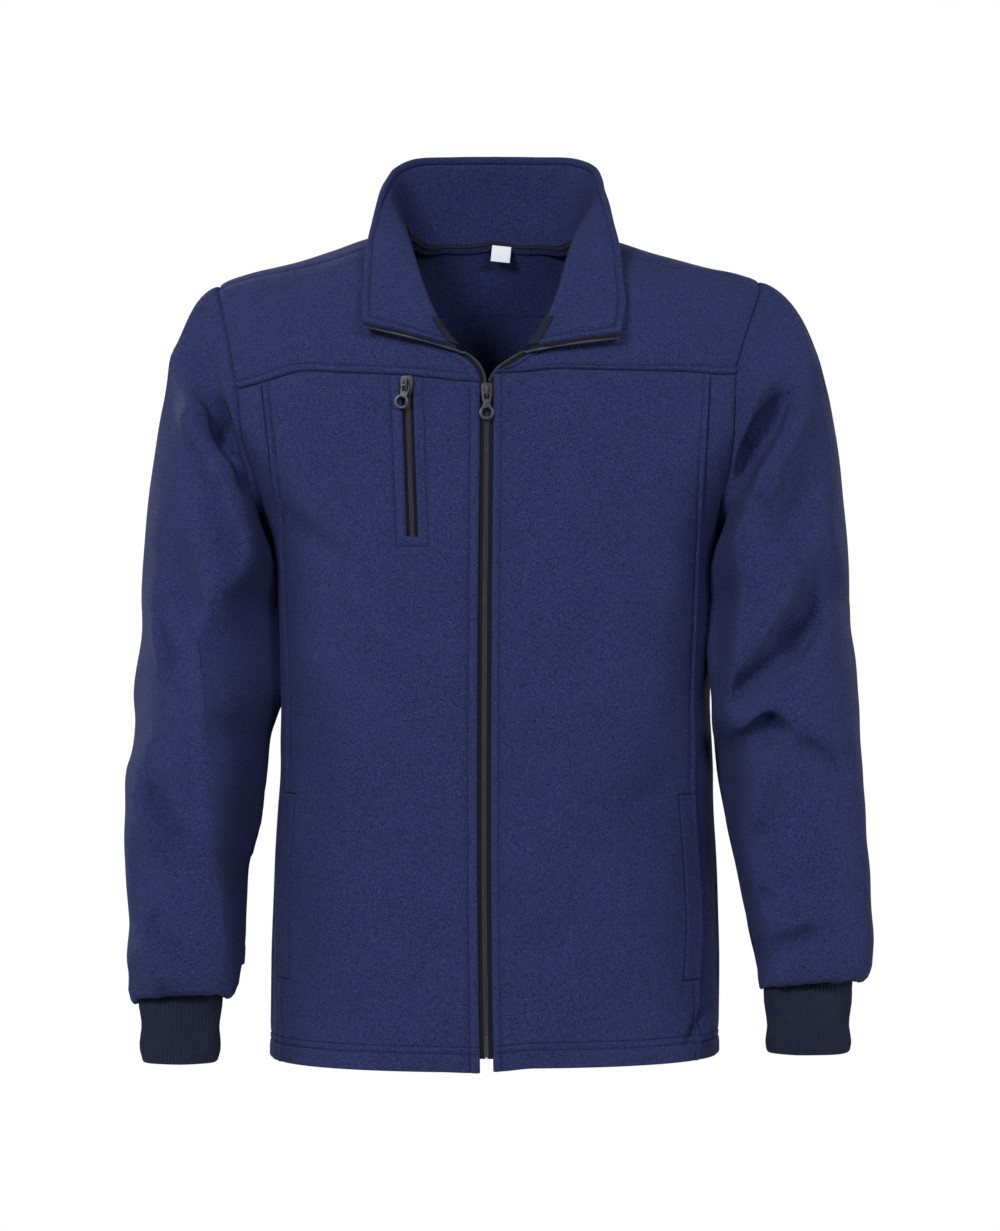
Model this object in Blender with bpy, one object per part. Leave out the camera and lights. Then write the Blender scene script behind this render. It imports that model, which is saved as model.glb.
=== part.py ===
"""Fleece zip jacket, worn form with nobody in it.

Lengths in the tables are millimetres; meshes are made in metres, +Z up.
The front faces -Y, and the wearer's right side is at -X.
The origin lies between the shoulders at the height of the neck's side points.
"""
import math

import bmesh
import bpy
import numpy as np
from mathutils import Matrix, Vector

# ---------------------------------------------------------------- sizes, mm
MM = 0.001
FLEECE = 2.6              # one layer of fleece
COLLAR_LAYER = 2.3        # one of the collar's two layers
SEAM_GAP = 0.3            # between sewn pieces
HEM_DEPTH = 24.0          # turned-up cloth at the lower edge
HEM_LEVEL = {"right": -681.0, "left": -678.0}
HEM_DROP = {"right": 0.8, "left": 2.6}    # how far the front corners hang lower
ZIP_END = -670.5          # lower end of the zip's tapes
ZIP_OPENING = 10.6        # between the two fronts
TAPE_THICK = 1.0
TAPE_SINK = 0.8           # from the cloth's inside to a tape's face
TAPE_HIDDEN = 8.0         # width of tape under each front
COIL_HALF = 0.7           # from the zip's centre to a tape's edge
TAPE_LIP = 4.6            # tape that shows past an open edge
SHELL_POWER = 2.2         # roundness of the shoulder's section
CHEST = -160.0            # the shoulders' sections start at this height

# Horizontal sections of the body.
BODY_COLUMNS = ("height", "right", "left", "front", "back", "squareness")
BODY = (
    (-684, 187.5, 188.3, 125.0, 121.0, 2.35),
    (-600, 186.8, 189.0, 124.0, 117.0, 2.35),
    (-520, 183.8, 186.6, 122.0, 111.0, 2.35),
    (-440, 178.2, 182.0, 121.0, 105.0, 2.35),
    (-360, 179.3, 181.3, 124.0, 105.0, 2.35),
    (-290, 182.0, 183.0, 128.0, 111.0, 2.40),
    (-250, 187.0, 187.0, 129.0, 116.0, 2.40),
    (-200, 213.0, 213.0, 127.5, 120.0, 2.30),
    (-160, 240.0, 240.0, 124.0, 121.0, 2.20),
)

# Crest of the shoulders, from the neck outwards.
CREST_COLUMNS = ("across", "right", "left", "depth")
CREST = (
    (0, 34.0, 34.0, 12.0),
    (50, 20.0, 19.0, 12.0),
    (80, 9.7, 7.8, 11.0),
    (110, 2.4, -1.0, 10.0),
    (135, -6.6, -8.8, 9.0),
    (155, -13.2, -14.4, 8.0),
    (180, -19.9, -21.0, 7.0),
    (206, -26.3, -26.5, 6.0),
    (223, -31.5, -32.0, 5.0),
    (240, -39.5, -42.0, 4.0),
)

# The shoulder seam lies in front of the crest, lower by this drop.
SEAM_DROP_COLUMNS = ("across", "drop")
SEAM_DROP = ((70, 10.5), (110, 12.0), (135, 11.0), (160, 9.0), (185, 6.5), (225, 4.5), (240, 4.5))

# Seams seen from the front: how far they lie from the middle, on each side.
ARMHOLE_COLUMNS = ("height", "right", "left")
ARMHOLE = (
    (-262, 183.0, 183.0),
    (-235, 189.5, 186.0),
    (-215, 194.0, 189.0),
    (-195, 199.0, 194.5),
    (-175, 206.0, 197.0),
    (-155, 210.0, 198.5),
    (-130, 212.0, 199.0),
    (-110, 216.0, 200.5),
    (-86, 221.0, 207.0),
    (-41, 232.0, 223.0),
    (-20, 236.0, 228.0),
)
PRINCESS_COLUMNS = ("height", "right", "left")
PRINCESS = (
    (-684, 178.0, 168.5),
    (-614, 178.5, 170.0),
    (-560, 178.5, 172.0),
    (-520, 177.5, 169.5),
    (-466, 172.5, 165.0),
    (-405, 172.0, 165.0),
    (-350, 173.0, 166.5),
    (-281, 175.5, 169.0),
    (-218, 180.5, 171.7),
    (-161, 186.0, 174.5),
    (-110, 192.0, 177.5),
)
YOKE_COLUMNS = ("across", "right", "left")
YOKE_SEAM = (
    (0, -124.5, -117.5),
    (20, -124.0, -116.5),
    (53, -120.5, -113.3),
    (80, -118.0, -113.8),
    (120, -116.0, -114.0),
    (160, -114.2, -114.2),
    (190, -122.0, -115.5),
    (212, -126.5, -112.5),
    (240, -128.0, -111.0),
)
ZIP_LINE_COLUMNS = ("height", "across")
ZIP_LINE = ((-690, -5.6), (-665, -6.0), (-540, -7.6), (-320, -7.2), (-115, -5.6), (-90, -5.6))

# Edge of the front yoke from the zip up to the shoulder seam.
NECK_FRONT_COLUMNS = ("height", "right", "left")
NECK_FRONT = (
    (-124, 11.4, -0.3),
    (-117, 13.0, 4.5),
    (-110, 17.6, 14.5),
    (-104, 25.0, 24.0),
    (-99, 34.0, 33.0),
    (-90, 42.5, 39.5),
    (-78, 47.8, 45.4),
    (-64, 54.8, 52.0),
    (-45, 62.0, 58.7),
    (-24, 68.8, 64.0),
    (0, 75.5, 71.5),
)
NECK_SEAM_END = -99.0     # above this the front yoke's edge is sewn to the collar
# The neck seam from one shoulder seam round the back: angle over the crest.
NECK_BACK_COLUMNS = ("across", "angle")
NECK_BACK = ((0, 34.0), (18, 33.3), (36, 31.0), (54, 26.0), (67, 18.0), (76, 4.0))
BACK_YOKE_COLUMNS = ("across", "height")
BACK_YOKE_SEAM = ((0, -52.0), (100, -54.0), (180, -60.0), (240, -68.0))
SIDE_SEAM_COLUMNS = ("height", "angle")
SIDE_SEAM = ((-684, 80.0), (-500, 81.0), (-400, 86.0), (-300, 90.0), (-200, 90.0))

# Horizontal sections of the sleeves below the arm; shear turns the front inwards.
SLEEVE_COLUMNS = ("height", "outer", "inner", "middle", "half_depth", "shear")
SLEEVE_RIGHT = (
    (-300, 289.5, 183.3, -20.0, 78.0, 0.30),
    (-340, 291.5, 181.5, -30.0, 76.0, 0.32),
    (-380, 294.5, 180.0, -40.0, 73.0, 0.33),
    (-410, 297.0, 187.5, -46.0, 71.0, 0.16),
    (-440, 300.0, 189.5, -50.0, 69.0, 0.08),
    (-480, 303.5, 192.0, -55.0, 66.0, 0.04),
    (-520, 304.0, 200.5, -60.0, 62.0, 0.00),
    (-550, 300.5, 203.5, -64.0, 59.0, 0.00),
    (-590, 297.0, 206.0, -68.0, 55.0, 0.00),
    (-618, 299.0, 209.0, -70.0, 50.0, 0.00),
)
SLEEVE_LEFT = (
    (-300, 293.0, 183.6, -20.0, 78.0, 0.30),
    (-340, 296.5, 182.3, -30.0, 76.0, 0.30),
    (-380, 300.0, 184.0, -40.0, 73.0, 0.26),
    (-410, 302.5, 183.5, -46.0, 71.0, 0.20),
    (-440, 304.5, 184.7, -50.0, 69.0, 0.12),
    (-480, 306.5, 191.0, -55.0, 66.0, 0.04),
    (-520, 308.5, 199.0, -60.0, 62.0, 0.00),
    (-550, 309.5, 205.0, -64.0, 59.0, 0.00),
    (-580, 311.0, 211.0, -68.0, 55.0, 0.00),
    (-602, 309.5, 215.5, -70.0, 50.0, 0.00),
)
SLEEVE_SQUARE = 2.4
# The sleeve's end turns in over the cuff: height over its lowest point, share of the way.
SLEEVE_END_COLUMNS = ("over_bottom", "share")
SLEEVE_END = ((14.0, 0.0), (5.0, 0.05), (1.0, 0.2), (0.0, 0.42), (1.5, 0.7), (5.0, 1.0))
# Parameters along a sleeve's top, from the armhole to the first full section.
CAP_STEPS = (0.0, 0.06, 0.15, 0.28, 0.46, 0.7)
# Pull of the armhole's direction and of the sleeve's fall, as shares of the run.
CAP_PULLS = {"right": (0.52, 1.35), "left": (0.66, 1.5)}

CUFFS = {                 # middle x, half width, lowest and highest point
    "right": {"across": 257.0, "half": 31.5, "low": -678.5, "high": -617.0, "bottom": -630.0},
    "left": {"across": 257.5, "half": 33.5, "low": -671.0, "high": -603.0, "bottom": -617.0},
}
CUFF_MIDDLE = -70.0
CUFF_HALF_DEPTH = 27.0
CUFF_WALL = 2.4
CUFF_RIBS = 66
RIB_HEIGHT = 0.55
OUTER_PER_INNER = 4       # points on a cuff's ribbed face for one on its plain inside

# Upper edge of the open collar, from the middle of the back to its front tip.
COLLAR_COLUMNS = ("share", "across", "depth", "height")
COLLAR_RIGHT = (
    (0.00, 0.0, 52.0, 79.0),
    (0.12, 36.0, 50.5, 78.5),
    (0.22, 67.5, 43.0, 76.0),
    (0.30, 82.5, 28.0, 67.5),
    (0.38, 88.5, 8.0, 57.0),
    (0.45, 93.0, -9.0, 47.5),
    (0.56, 97.5, -35.0, 30.0),
    (0.65, 101.0, -51.0, 10.5),
    (0.73, 104.0, -64.0, -6.5),
    (0.82, 105.5, -81.0, -31.0),
    (0.91, 107.0, -97.0, -54.0),
    (1.00, 105.5, -114.0, -76.0),
)
COLLAR_LEFT = (
    (0.00, 0.0, 52.0, 79.0),
    (0.12, 36.0, 50.5, 78.5),
    (0.22, 67.5, 43.0, 76.5),
    (0.30, 83.5, 28.0, 69.0),
    (0.38, 89.0, 8.0, 57.5),
    (0.45, 91.0, -9.0, 47.0),
    (0.56, 96.0, -35.0, 29.0),
    (0.65, 99.5, -53.0, 9.0),
    (0.73, 103.0, -66.0, -8.6),
    (0.82, 105.0, -82.0, -34.0),
    (0.91, 107.0, -98.0, -59.0),
    (1.00, 103.0, -115.0, -85.0),
)
COLLAR_ROWS = (0.0, 0.13, 0.34, 0.64, 1.0)
COLLAR_SETBACK = 3.3      # the collar's middle stands this far inside the neck's edge
COLLAR_TAIL = 4.2         # seam allowance that hangs inside the neck
COLLAR_FOOT = 0.8         # the visible collar starts this far above the cloth
COLLAR_ROLL = 11.0        # how far it stands off the cloth before it falls open

# Folds: the line seen from the front, its half width and its height along the cloth.
FOLD_COLUMNS = ("x0", "z0", "x1", "z1", "spread", "rise", "face")
SLEEVE_FOLDS = {
    "right": (
        (-262, -100, -247, -150, 13, 4.0, "front"),
        (-247, -150, -222, -196, 13, 6.5, "front"),
        (-222, -196, -208, -225, 12, 5.0, "front"),
        (-236, -105, -219, -160, 14, -7.0, "front"),
        (-219, -160, -206, -196, 12, -9.0, "front"),
        (-262, -258, -238, -332, 17, -5.5, "front"),
        (-285, -300, -265, -352, 12, 4.0, "front"),
        (-238, -345, -216, -405, 20, -6.0, "front"),
        (-216, -405, -212, -520, 18, -5.0, "front"),
        (-299, -440, -271, -498, 13, 4.5, "front"),
        (-300, -583, -268, -610, 14, 5.0, "front"),
        (-290, -520, -262, -556, 16, -3.5, "front"),
        (-190, -405, -202, -448, 14, 4.0, "front"),
        (-268, -118, -238, -196, 18, -5.0, "back"),
        (-238, -196, -214, -262, 16, 5.0, "back"),
        (-292, -330, -232, -372, 18, -6.0, "back"),
        (-230, -400, -280, -452, 16, 5.0, "back"),
        (-290, -505, -232, -540, 18, -4.5, "back"),
        (-236, -580, -286, -602, 14, 4.0, "back"),
    ),
    "left": (
        (257, -104, 247, -147, 13, 3.5, "front"),
        (247, -147, 222, -208, 13, 6.0, "front"),
        (222, -208, 196, -272, 13, 4.5, "front"),
        (238, -140, 203, -186, 14, -9.0, "front"),
        (204, -200, 214, -232, 11, -5.0, "front"),
        (262, -208, 240, -262, 20, -3.5, "front"),
        (280, -292, 246, -330, 13, -6.0, "front"),
        (246, -330, 204, -380, 13, -6.5, "front"),
        (230, -350, 194, -396, 10, 4.0, "front"),
        (224, -408, 284, -434, 12, -5.0, "front"),
        (224, -402, 190, -426, 12, -5.0, "front"),
        (228, -422, 216, -476, 14, 5.5, "front"),
        (280, -540, 246, -524, 16, -3.0, "front"),
        (222, -584, 282, -572, 14, -3.5, "front"),
        (264, -112, 240, -190, 18, -5.0, "back"),
        (240, -190, 214, -256, 16, 5.0, "back"),
        (290, -322, 226, -366, 18, -6.0, "back"),
        (222, -392, 284, -440, 16, 5.0, "back"),
        (290, -500, 226, -536, 18, -4.5, "back"),
        (230, -572, 288, -590, 14, 3.5, "back"),
    ),
}
BODY_FOLDS = (
    (-172, -230, -118, -272, 17, -2.2, "front"),
    (-118, -272, -70, -330, 20, 1.6, "front"),
    (14, -548, 48, -585, 18, -2.0, "front"),
    (112, -462, 142, -438, 16, -1.8, "front"),
    (170, -420, 132, -560, 22, 2.0, "front"),
    (-170, -470, -120, -600, 24, 1.8, "front"),
    (-150, -200, -70, -330, 22, -3.0, "back"),
    (150, -200, 76, -320, 22, -3.0, "back"),
    (-170, -420, -60, -380, 24, 3.0, "back"),
    (168, -440, 70, -396, 24, 3.0, "back"),
    (-20, -300, 14, -600, 26, 2.0, "back"),
)

# Points on each part of an armhole's edge, from its lowest point up the front and down the back.
LOOP_PARTS = (("side", 7), ("yoke", 9), ("shoulder", 5), ("back", 8))
ARMHOLE_BOTTOM_RANGE = (-262.0, -200.0)   # the lowest point lies between these heights
ARMHOLE_TOP_RANGE = (-60.0, -20.0)        # and the shoulder seam's outer end between these
# Columns of a front from the zip to the princess seam; None stands for an edge of the slot.
FRONT_SHARES = (0.0, 0.09, 0.15, 0.32, 0.45, 0.58, 0.72, 0.86, 1.0)
SLOT_SHARES = (0.0, 0.09, 0.15, 0.27, None, None, 0.45, 0.58, 0.72, 0.86, 1.0)
COLUMNS = {"right": SLOT_SHARES, "left": FRONT_SHARES}
SIDE_COUNT = 5
BACK_COUNT = 15
HEM_ROWS = 2              # rows of a panel that belong to its hem
PLAIN_ROWS_START = -625.0 # first row above the hem's
PLAIN_ROWS = 9            # rows from there to the armhole
BACK_INNER = 104.0        # half of the back yoke's lower edge that lies below the neck
NECK_ROWS = 7             # steps up the neck seam of a front, from its end to the shoulder seam
NECK_END_COLUMNS = 3      # columns of the collar that the tape at each front end covers

# Chest pocket on the wearer's right, seen from the front.
POCKET_TOP = -121.5
POCKET_BOTTOM = -249.0
POCKET_ACROSS = (-70.3, -65.7)    # middle of the slot at its top and bottom
POCKET_HALF = 4.6
POCKET_TAPE_HALF = 11.0
POCKET_TAPE_OVER = 8.0

LABEL_SIZE = (16.5, 14.0, 1.0)
LABEL_ACROSS = 8.0        # the label hangs from the neck tape this far to the wearer's left
LABEL_SHIFT = (5.8, -1.0, -3.2)           # from the tape's foot to the middle of its upper edge
LABEL_LEAN = (-6.0, 6.0)                  # degrees, backwards and sideways
NECK_TAPE_ROWS = 3        # rows of the collar, from its foot, that the neck tape covers

# A slider's outline: share of its half width, and height as a share of its length.
SLIDER_OUTLINE = ((0.62, 0.5), (0.9, 0.42), (1.0, 0.2), (0.92, -0.1), (0.72, -0.38), (0.55, -0.5))
SLIDER_HALF = 4.7
POCKET_SLIDER_HALF = 5.5
SLIDER_LENGTH = 16.0
SLIDER_PLATE = 1.3
SLIDER_INSIDE = 3.0       # between the two plates, for the tapes and the coil
TAPE_TO_PLATE = 0.9       # from the tape's face to the front plate's back
PLATE_CLEAR = 0.6         # from the cloth to the pocket slider's plate
POST_WIDE = 1.0
BRIDGE_OUT = 4.4          # inside height of the bridge, from the plate's back
BRIDGE_THICK = 1.0
BRIDGE_WIDE = 1.8
BRIDGE_TOP = 5.2
BRIDGE_LOW = -3.6
HINGE_OUT = 2.85          # the tab's axis in front of the plate's back
HINGE_UP = -0.2
PULL_LENGTH = {"zip": 22.0, "pocket_zip": 19.5}
PULL_THICK = 1.4
PULL_RING = 6.0
PULL_HOLE = 3.8
EYE_BAR = 1.0             # half height of the bar over the eye
EYE_LOW = 5.0             # the eye's lower edge, below the axis
EYE_HALF = 2.1
PULL_WAIST = 2.7          # half width of the tab's narrow part
PULL_HEAD = 3.5           # and of the part with the eye
PULL_TOP = 2.6
PULL_NECK = 3.2           # from the eye down to the narrow part
TAB_LEAN = {"zip": (9.0, 0.0), "pocket_zip": (6.0, 16.0)}   # degrees, out and sideways
ZIP_SLIDER_HEIGHT = -133.5
POCKET_SLIDER_HEIGHT = -127.5

COLORS = {                # base colour, roughness, metallic
    "fleece": ((0.030, 0.036, 0.130), 0.95, 0.0),
    "rib": ((0.020, 0.024, 0.058), 0.9, 0.0),
    "tape": ((0.012, 0.012, 0.018), 0.75, 0.0),
    "neck": ((0.010, 0.011, 0.022), 0.8, 0.0),
    "zinc": ((0.060, 0.062, 0.078), 0.4, 0.7),
    "label": ((0.74, 0.74, 0.78), 0.6, 0.0),
}

SIDES = {"right": -1.0, "left": 1.0}


# ------------------------------------------------------------ tables, curves
def column(table, names, name):
    return np.array([row[names.index(name)] for row in table], dtype=float)


class Table:
    """Smooth curves through the columns of a table, by its first column."""

    def __init__(self, names, rows):
        rows = sorted(rows)
        self.at = column(rows, names, names[0])
        self.values = {name: column(rows, names, name) for name in names[1:]}
        self.slopes = {name: self.slope(self.values[name]) for name in names[1:]}

    def slope(self, values):
        step = np.diff(self.at)
        rise = np.diff(values) / step
        inner = (rise[:-1] * step[1:] + rise[1:] * step[:-1]) / (step[1:] + step[:-1])
        return np.concatenate(([rise[0]], inner, [rise[-1]]))

    def __call__(self, name, where):
        where = min(max(where, self.at[0]), self.at[-1])
        i = int(np.clip(np.searchsorted(self.at, where) - 1, 0, len(self.at) - 2))
        step = self.at[i + 1] - self.at[i]
        t = (where - self.at[i]) / step
        y, m = self.values[name], self.slopes[name]
        return ((2 * t**3 - 3 * t**2 + 1) * y[i] + (t**3 - 2 * t**2 + t) * step * m[i]
                + (3 * t**2 - 2 * t**3) * y[i + 1] + (t**3 - t**2) * step * m[i + 1])


body_table = Table(BODY_COLUMNS, BODY)
crest_table = Table(CREST_COLUMNS, CREST)
drop_table = Table(SEAM_DROP_COLUMNS, SEAM_DROP)
armhole_table = Table(ARMHOLE_COLUMNS, ARMHOLE)
princess_table = Table(PRINCESS_COLUMNS, PRINCESS)
yoke_table = Table(YOKE_COLUMNS, YOKE_SEAM)
zip_table = Table(ZIP_LINE_COLUMNS, ZIP_LINE)
neck_front_table = Table(NECK_FRONT_COLUMNS, NECK_FRONT)
back_yoke_table = Table(BACK_YOKE_COLUMNS, BACK_YOKE_SEAM)
side_table = Table(SIDE_SEAM_COLUMNS, SIDE_SEAM)
sleeve_tables = {"right": Table(SLEEVE_COLUMNS, SLEEVE_RIGHT),
                 "left": Table(SLEEVE_COLUMNS, SLEEVE_LEFT)}
collar_tables = {"right": Table(COLLAR_COLUMNS, COLLAR_RIGHT),
                 "left": Table(COLLAR_COLUMNS, COLLAR_LEFT)}


def mix(a, b, t):
    return a + (b - a) * t


def smooth_step(t):
    t = min(max(t, 0.0), 1.0)
    return t * t * (3 - 2 * t)


def unit(v):
    return v / max(np.linalg.norm(v), 1e-9)


def spread(start, end, count):
    return [mix(start, end, i / count) for i in range(count + 1)]


def signed_power(value, power):
    return math.copysign(abs(value) ** power, value)


def fold_rise(folds, x, z, facing):
    """Height of all folds at a place seen from the front; facing is -1 at the front."""
    total = 0.0
    for x0, z0, x1, z1, width, rise, face in folds:
        share = smooth_step(0.5 - facing * (0.9 if face == "front" else -0.9))
        along, place = np.array((x1 - x0, z1 - z0)), np.array((x - x0, z - z0))
        t = float(np.dot(place, along) / np.dot(along, along))
        t_near = min(max(t, 0.0), 1.0)
        away = np.linalg.norm(place - along * t_near)
        total += share * rise * math.exp(-(away / width) ** 2)
    return total


# ------------------------------------------------------------- body surface
def side_of(x):
    return "right" if x < 0 else "left"


def crest_height(x):
    return crest_table(side_of(x), abs(x))


def body_section(angle, height):
    """Point on the body at an angle from the front's middle (+ to the wearer's left)."""
    turn = math.radians(angle)
    low = min(height, CHEST)
    power = 2.0 / body_table("squareness", low)
    side = signed_power(math.sin(turn), power)
    x = body_table(side_of(side), low) * side
    forward = math.cos(turn) > 0
    depth = -body_table("front", low) if forward else body_table("back", low)
    y = depth * abs(math.cos(turn)) ** power
    if height > CHEST:
        y = shoulder_depth(x, y, height)
    return np.array((x, y, height))


def shoulder_depth(x, chest_y, height):
    top = crest_height(x)
    share = min((height - CHEST) / (top - CHEST), 1.0)
    out = max(0.0, 1 - share**SHELL_POWER) ** (1 / SHELL_POWER)
    return mix(crest_table("depth", abs(x)), chest_y, out)


def angle_at(x, height, forward=True):
    """Angle at which the body's section lies this far across."""
    low = min(height, CHEST)
    power = body_table("squareness", low) / 2.0
    share = min(abs(x) / body_table(side_of(x), low), 1.0)
    angle = math.degrees(math.asin(share**power))
    return math.copysign(angle if forward else 180 - angle, x)


def over_shoulder(x, turn):
    """Point over the crest: turn -90 at the front of the chest, 0 on the crest, 90 behind."""
    forward = turn < 0
    chest_y = body_section(angle_at(x, CHEST, forward), CHEST)[1]
    power = 2.0 / SHELL_POWER
    rise = math.cos(math.radians(turn)) ** power
    out = abs(math.sin(math.radians(turn))) ** power
    height = mix(CHEST, crest_height(x), rise)
    return np.array((x, mix(crest_table("depth", abs(x)), chest_y, out), height))


def turn_at(x, height, forward=True):
    top = crest_height(x)
    share = min(max((height - CHEST) / (top - CHEST), 0.0), 1.0)
    turn = math.degrees(math.acos(share ** (SHELL_POWER / 2.0)))
    return -turn if forward else turn


def normal_of(function, a, b, step_a, step_b):
    da = function(a + step_a, b) - function(a - step_a, b)
    db = function(a, b + step_b) - function(a, b - step_b)
    return unit(np.cross(da, db))


def body_frame(angle, height):
    """Plain point and outward normal, by angle and height."""
    normal = normal_of(body_section, angle, height, 0.05, 0.2)
    return body_section(angle, height), normal


def shoulder_frame(x, turn):
    normal = normal_of(over_shoulder, x, turn, 0.2, 0.1)
    return over_shoulder(x, turn), -normal if normal[2] < 0 else normal


def lay(frame, inwards=0.0):
    """Point of the cloth's outside, moved in by a depth, with the folds in it."""
    point, normal = frame
    return point + normal * (fold_rise(BODY_FOLDS, point[0], point[2], normal[1]) - inwards)


# ----------------------------------------------------------------- armholes
def armhole_bottom(side):
    low, high = ARMHOLE_BOTTOM_RANGE
    for _ in range(40):
        middle = (low + high) / 2
        if armhole_table(side, middle) > body_table(side, middle):
            low = middle
        else:
            high = middle
    return high


def shoulder_seam_height(x):
    """Height of the shoulder seam at a signed place across."""
    return crest_height(x) - drop_table("drop", abs(x))


def armhole_across(side, height):
    return min(armhole_table(side, height), body_table(side, min(height, CHEST)))


def armhole_top(side):
    """Height of the shoulder seam's outer end."""
    low, high = ARMHOLE_TOP_RANGE
    for _ in range(40):
        middle = (low + high) / 2
        if shoulder_seam_height(SIDES[side] * armhole_table(side, middle)) > middle:
            low = middle
        else:
            high = middle
    return low


def yoke_end(side):
    """Height at which the yoke seam meets the armhole."""
    height = -120.0
    for _ in range(20):
        height = yoke_table(side, armhole_table(side, height))
    return height


def back_end(side):
    height = -60.0
    for _ in range(20):
        height = back_yoke_table("height", armhole_table(side, height))
    return height


def armhole_loop(side):
    """Frames round an armhole: side panel, front yoke, back yoke, back, and back to the start."""
    sign = SIDES[side]
    bottom, seam, top, back = armhole_bottom(side), yoke_end(side), armhole_top(side), back_end(side)
    frames = []

    def at_height(height, forward):
        x = sign * armhole_across(side, height)
        frames.append(body_frame(angle_at(x, height, forward), height))

    counts = dict(LOOP_PARTS)
    for t in spread(0, 1, counts["side"])[:-1]:
        at_height(mix(bottom, seam, t**1.7), True)
    for t in spread(0, 1, counts["yoke"])[:-1]:
        at_height(mix(seam, top, t), True)
    x_top, x_back = armhole_table(side, top), armhole_table(side, back)
    turn_top = turn_at(sign * x_top, top)
    turn_back = turn_at(sign * x_back, back, False)
    for t in spread(0, 1, counts["shoulder"])[:-1]:
        frames.append(shoulder_frame(sign * mix(x_top, x_back, t), mix(turn_top, turn_back, t)))
    for t in spread(0, 1, counts["back"])[:-1]:
        at_height(mix(bottom, back, (1 - t) ** 1.7), False)
    return frames


def loop_part(side, name):
    """Index range of one part of the armhole loop."""
    start = 0
    for part, count in LOOP_PARTS:
        if part == name:
            return start, start + count
        start += count
    raise KeyError(name)


loops = {side: armhole_loop(side) for side in SIDES}


def loop_frame(side, index):
    return loops[side][index % len(loops[side])]


# ---------------------------------------------------------------- mesh tools
def new_material(name, key):
    color, roughness, metallic = COLORS[key]
    material = bpy.data.materials.new(name)
    material.use_nodes = True
    shader = material.node_tree.nodes["Principled BSDF"]
    shader.inputs["Base Color"].default_value = (*color, 1.0)
    shader.inputs["Roughness"].default_value = roughness
    shader.inputs["Metallic"].default_value = metallic
    return material


def place(name, bm, key, sharp=50.0, collection="fleece_zip_jacket"):
    """Turn a closed bmesh in metres into a named object with its own material."""
    bmesh.ops.recalc_face_normals(bm, faces=bm.faces)
    mesh = bpy.data.meshes.new(name)
    bm.to_mesh(mesh)
    bm.free()
    mesh.shade_smooth()
    mesh.set_sharp_from_angle(angle=math.radians(sharp))
    mesh.materials.append(new_material(name, key))
    thing = bpy.data.objects.new(name, mesh)
    bpy.data.collections[collection].objects.link(thing)
    return thing


def wall(name, outer, inner, key, closed=False, hole=None):
    """Cloth between two grids of points; closed joins the last column to the first.

    hole is (first column, last column, first row, last row) of cells left out.
    """
    bm = bmesh.new()
    skins = []
    for grid in (outer, inner):
        skins.append([[bm.verts.new(Vector(p) * MM) for p in line] for line in grid])
    columns = len(outer) if closed else len(outer) - 1
    rows = len(outer[0]) - 1
    edges = {}
    for i in range(columns):
        for j in range(rows):
            if hole and hole[0] <= i < hole[1] and hole[2] <= j < hole[3]:
                continue
            corners = [(i, j), ((i + 1) % len(outer), j), ((i + 1) % len(outer), j + 1), (i, j + 1)]
            bm.faces.new([skins[0][a][b] for a, b in corners])
            bm.faces.new([skins[1][a][b] for a, b in reversed(corners)])
            for a, b in zip(corners, corners[1:] + corners[:1]):
                edges[(a, b)] = edges.get((a, b), 0) + 1
    for a, b in edges:
        if (b, a) not in edges:
            bm.faces.new([skins[0][b[0]][b[1]], skins[0][a[0]][a[1]],
                          skins[1][a[0]][a[1]], skins[1][b[0]][b[1]]])
    loose = [v for v in bm.verts if not v.link_faces]
    bmesh.ops.delete(bm, geom=loose, context="VERTS")
    return place(name, bm, key)


def trim(grid, edges, gap=SEAM_GAP / 2):
    """Move the named edges of a grid in by a gap, along the cloth."""
    grid = [list(line) for line in grid]
    if "start" in edges:
        grid[0] = [p + unit(q - p) * gap for p, q in zip(grid[0], grid[1])]
    if "end" in edges:
        grid[-1] = [p + unit(q - p) * gap for p, q in zip(grid[-1], grid[-2])]
    for line in grid:
        if "low" in edges:
            line[0] = line[0] + unit(line[1] - line[0]) * gap
        if "high" in edges:
            line[-1] = line[-1] + unit(line[-2] - line[-1]) * gap
    return grid


def panel(name, frames, edges, hem=False, hole=None):
    """Fleece panel from a grid of (point, normal) on the body."""
    outer = [[lay(f) for f in line] for line in frames]
    inner = [[lay(f, wall_depth(f[0], hem and row < HEM_ROWS)) for row, f in enumerate(line)]
             for line in frames]
    return wall(name, trim(outer, edges), trim(inner, edges), "fleece", hole=hole)


def wall_depth(point, hem):
    """Fleece is double over the turned-up hem, but not where the zip lies behind it."""
    off_zip = abs(point[0] - zip_table("across", point[2]))
    return FLEECE if not hem or off_zip < ZIP_OPENING / 2 + TAPE_HIDDEN + 10 else 2 * FLEECE


# ------------------------------------------------------------------- panels
def low_rows(side):
    """Heights of a panel's rows from the hem to the armhole's lowest point."""
    hem = HEM_LEVEL[side]
    rows = [hem, hem + HEM_DEPTH - 0.5, hem + HEM_DEPTH + 1.5]
    return rows + spread(PLAIN_ROWS_START, armhole_bottom(side), PLAIN_ROWS)[:-1]


def seam_rows(side):
    """Heights of the rows that a front shares with its side panel, below the yoke seam."""
    start, end = loop_part(side, "side")
    return low_rows(side) + [loop_frame(side, k)[0][2] for k in range(start, end)]


def front_edge(side, height):
    """Signed x of a front's edge beside the zip."""
    return zip_table("across", height) + SIDES[side] * ZIP_OPENING / 2


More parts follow.
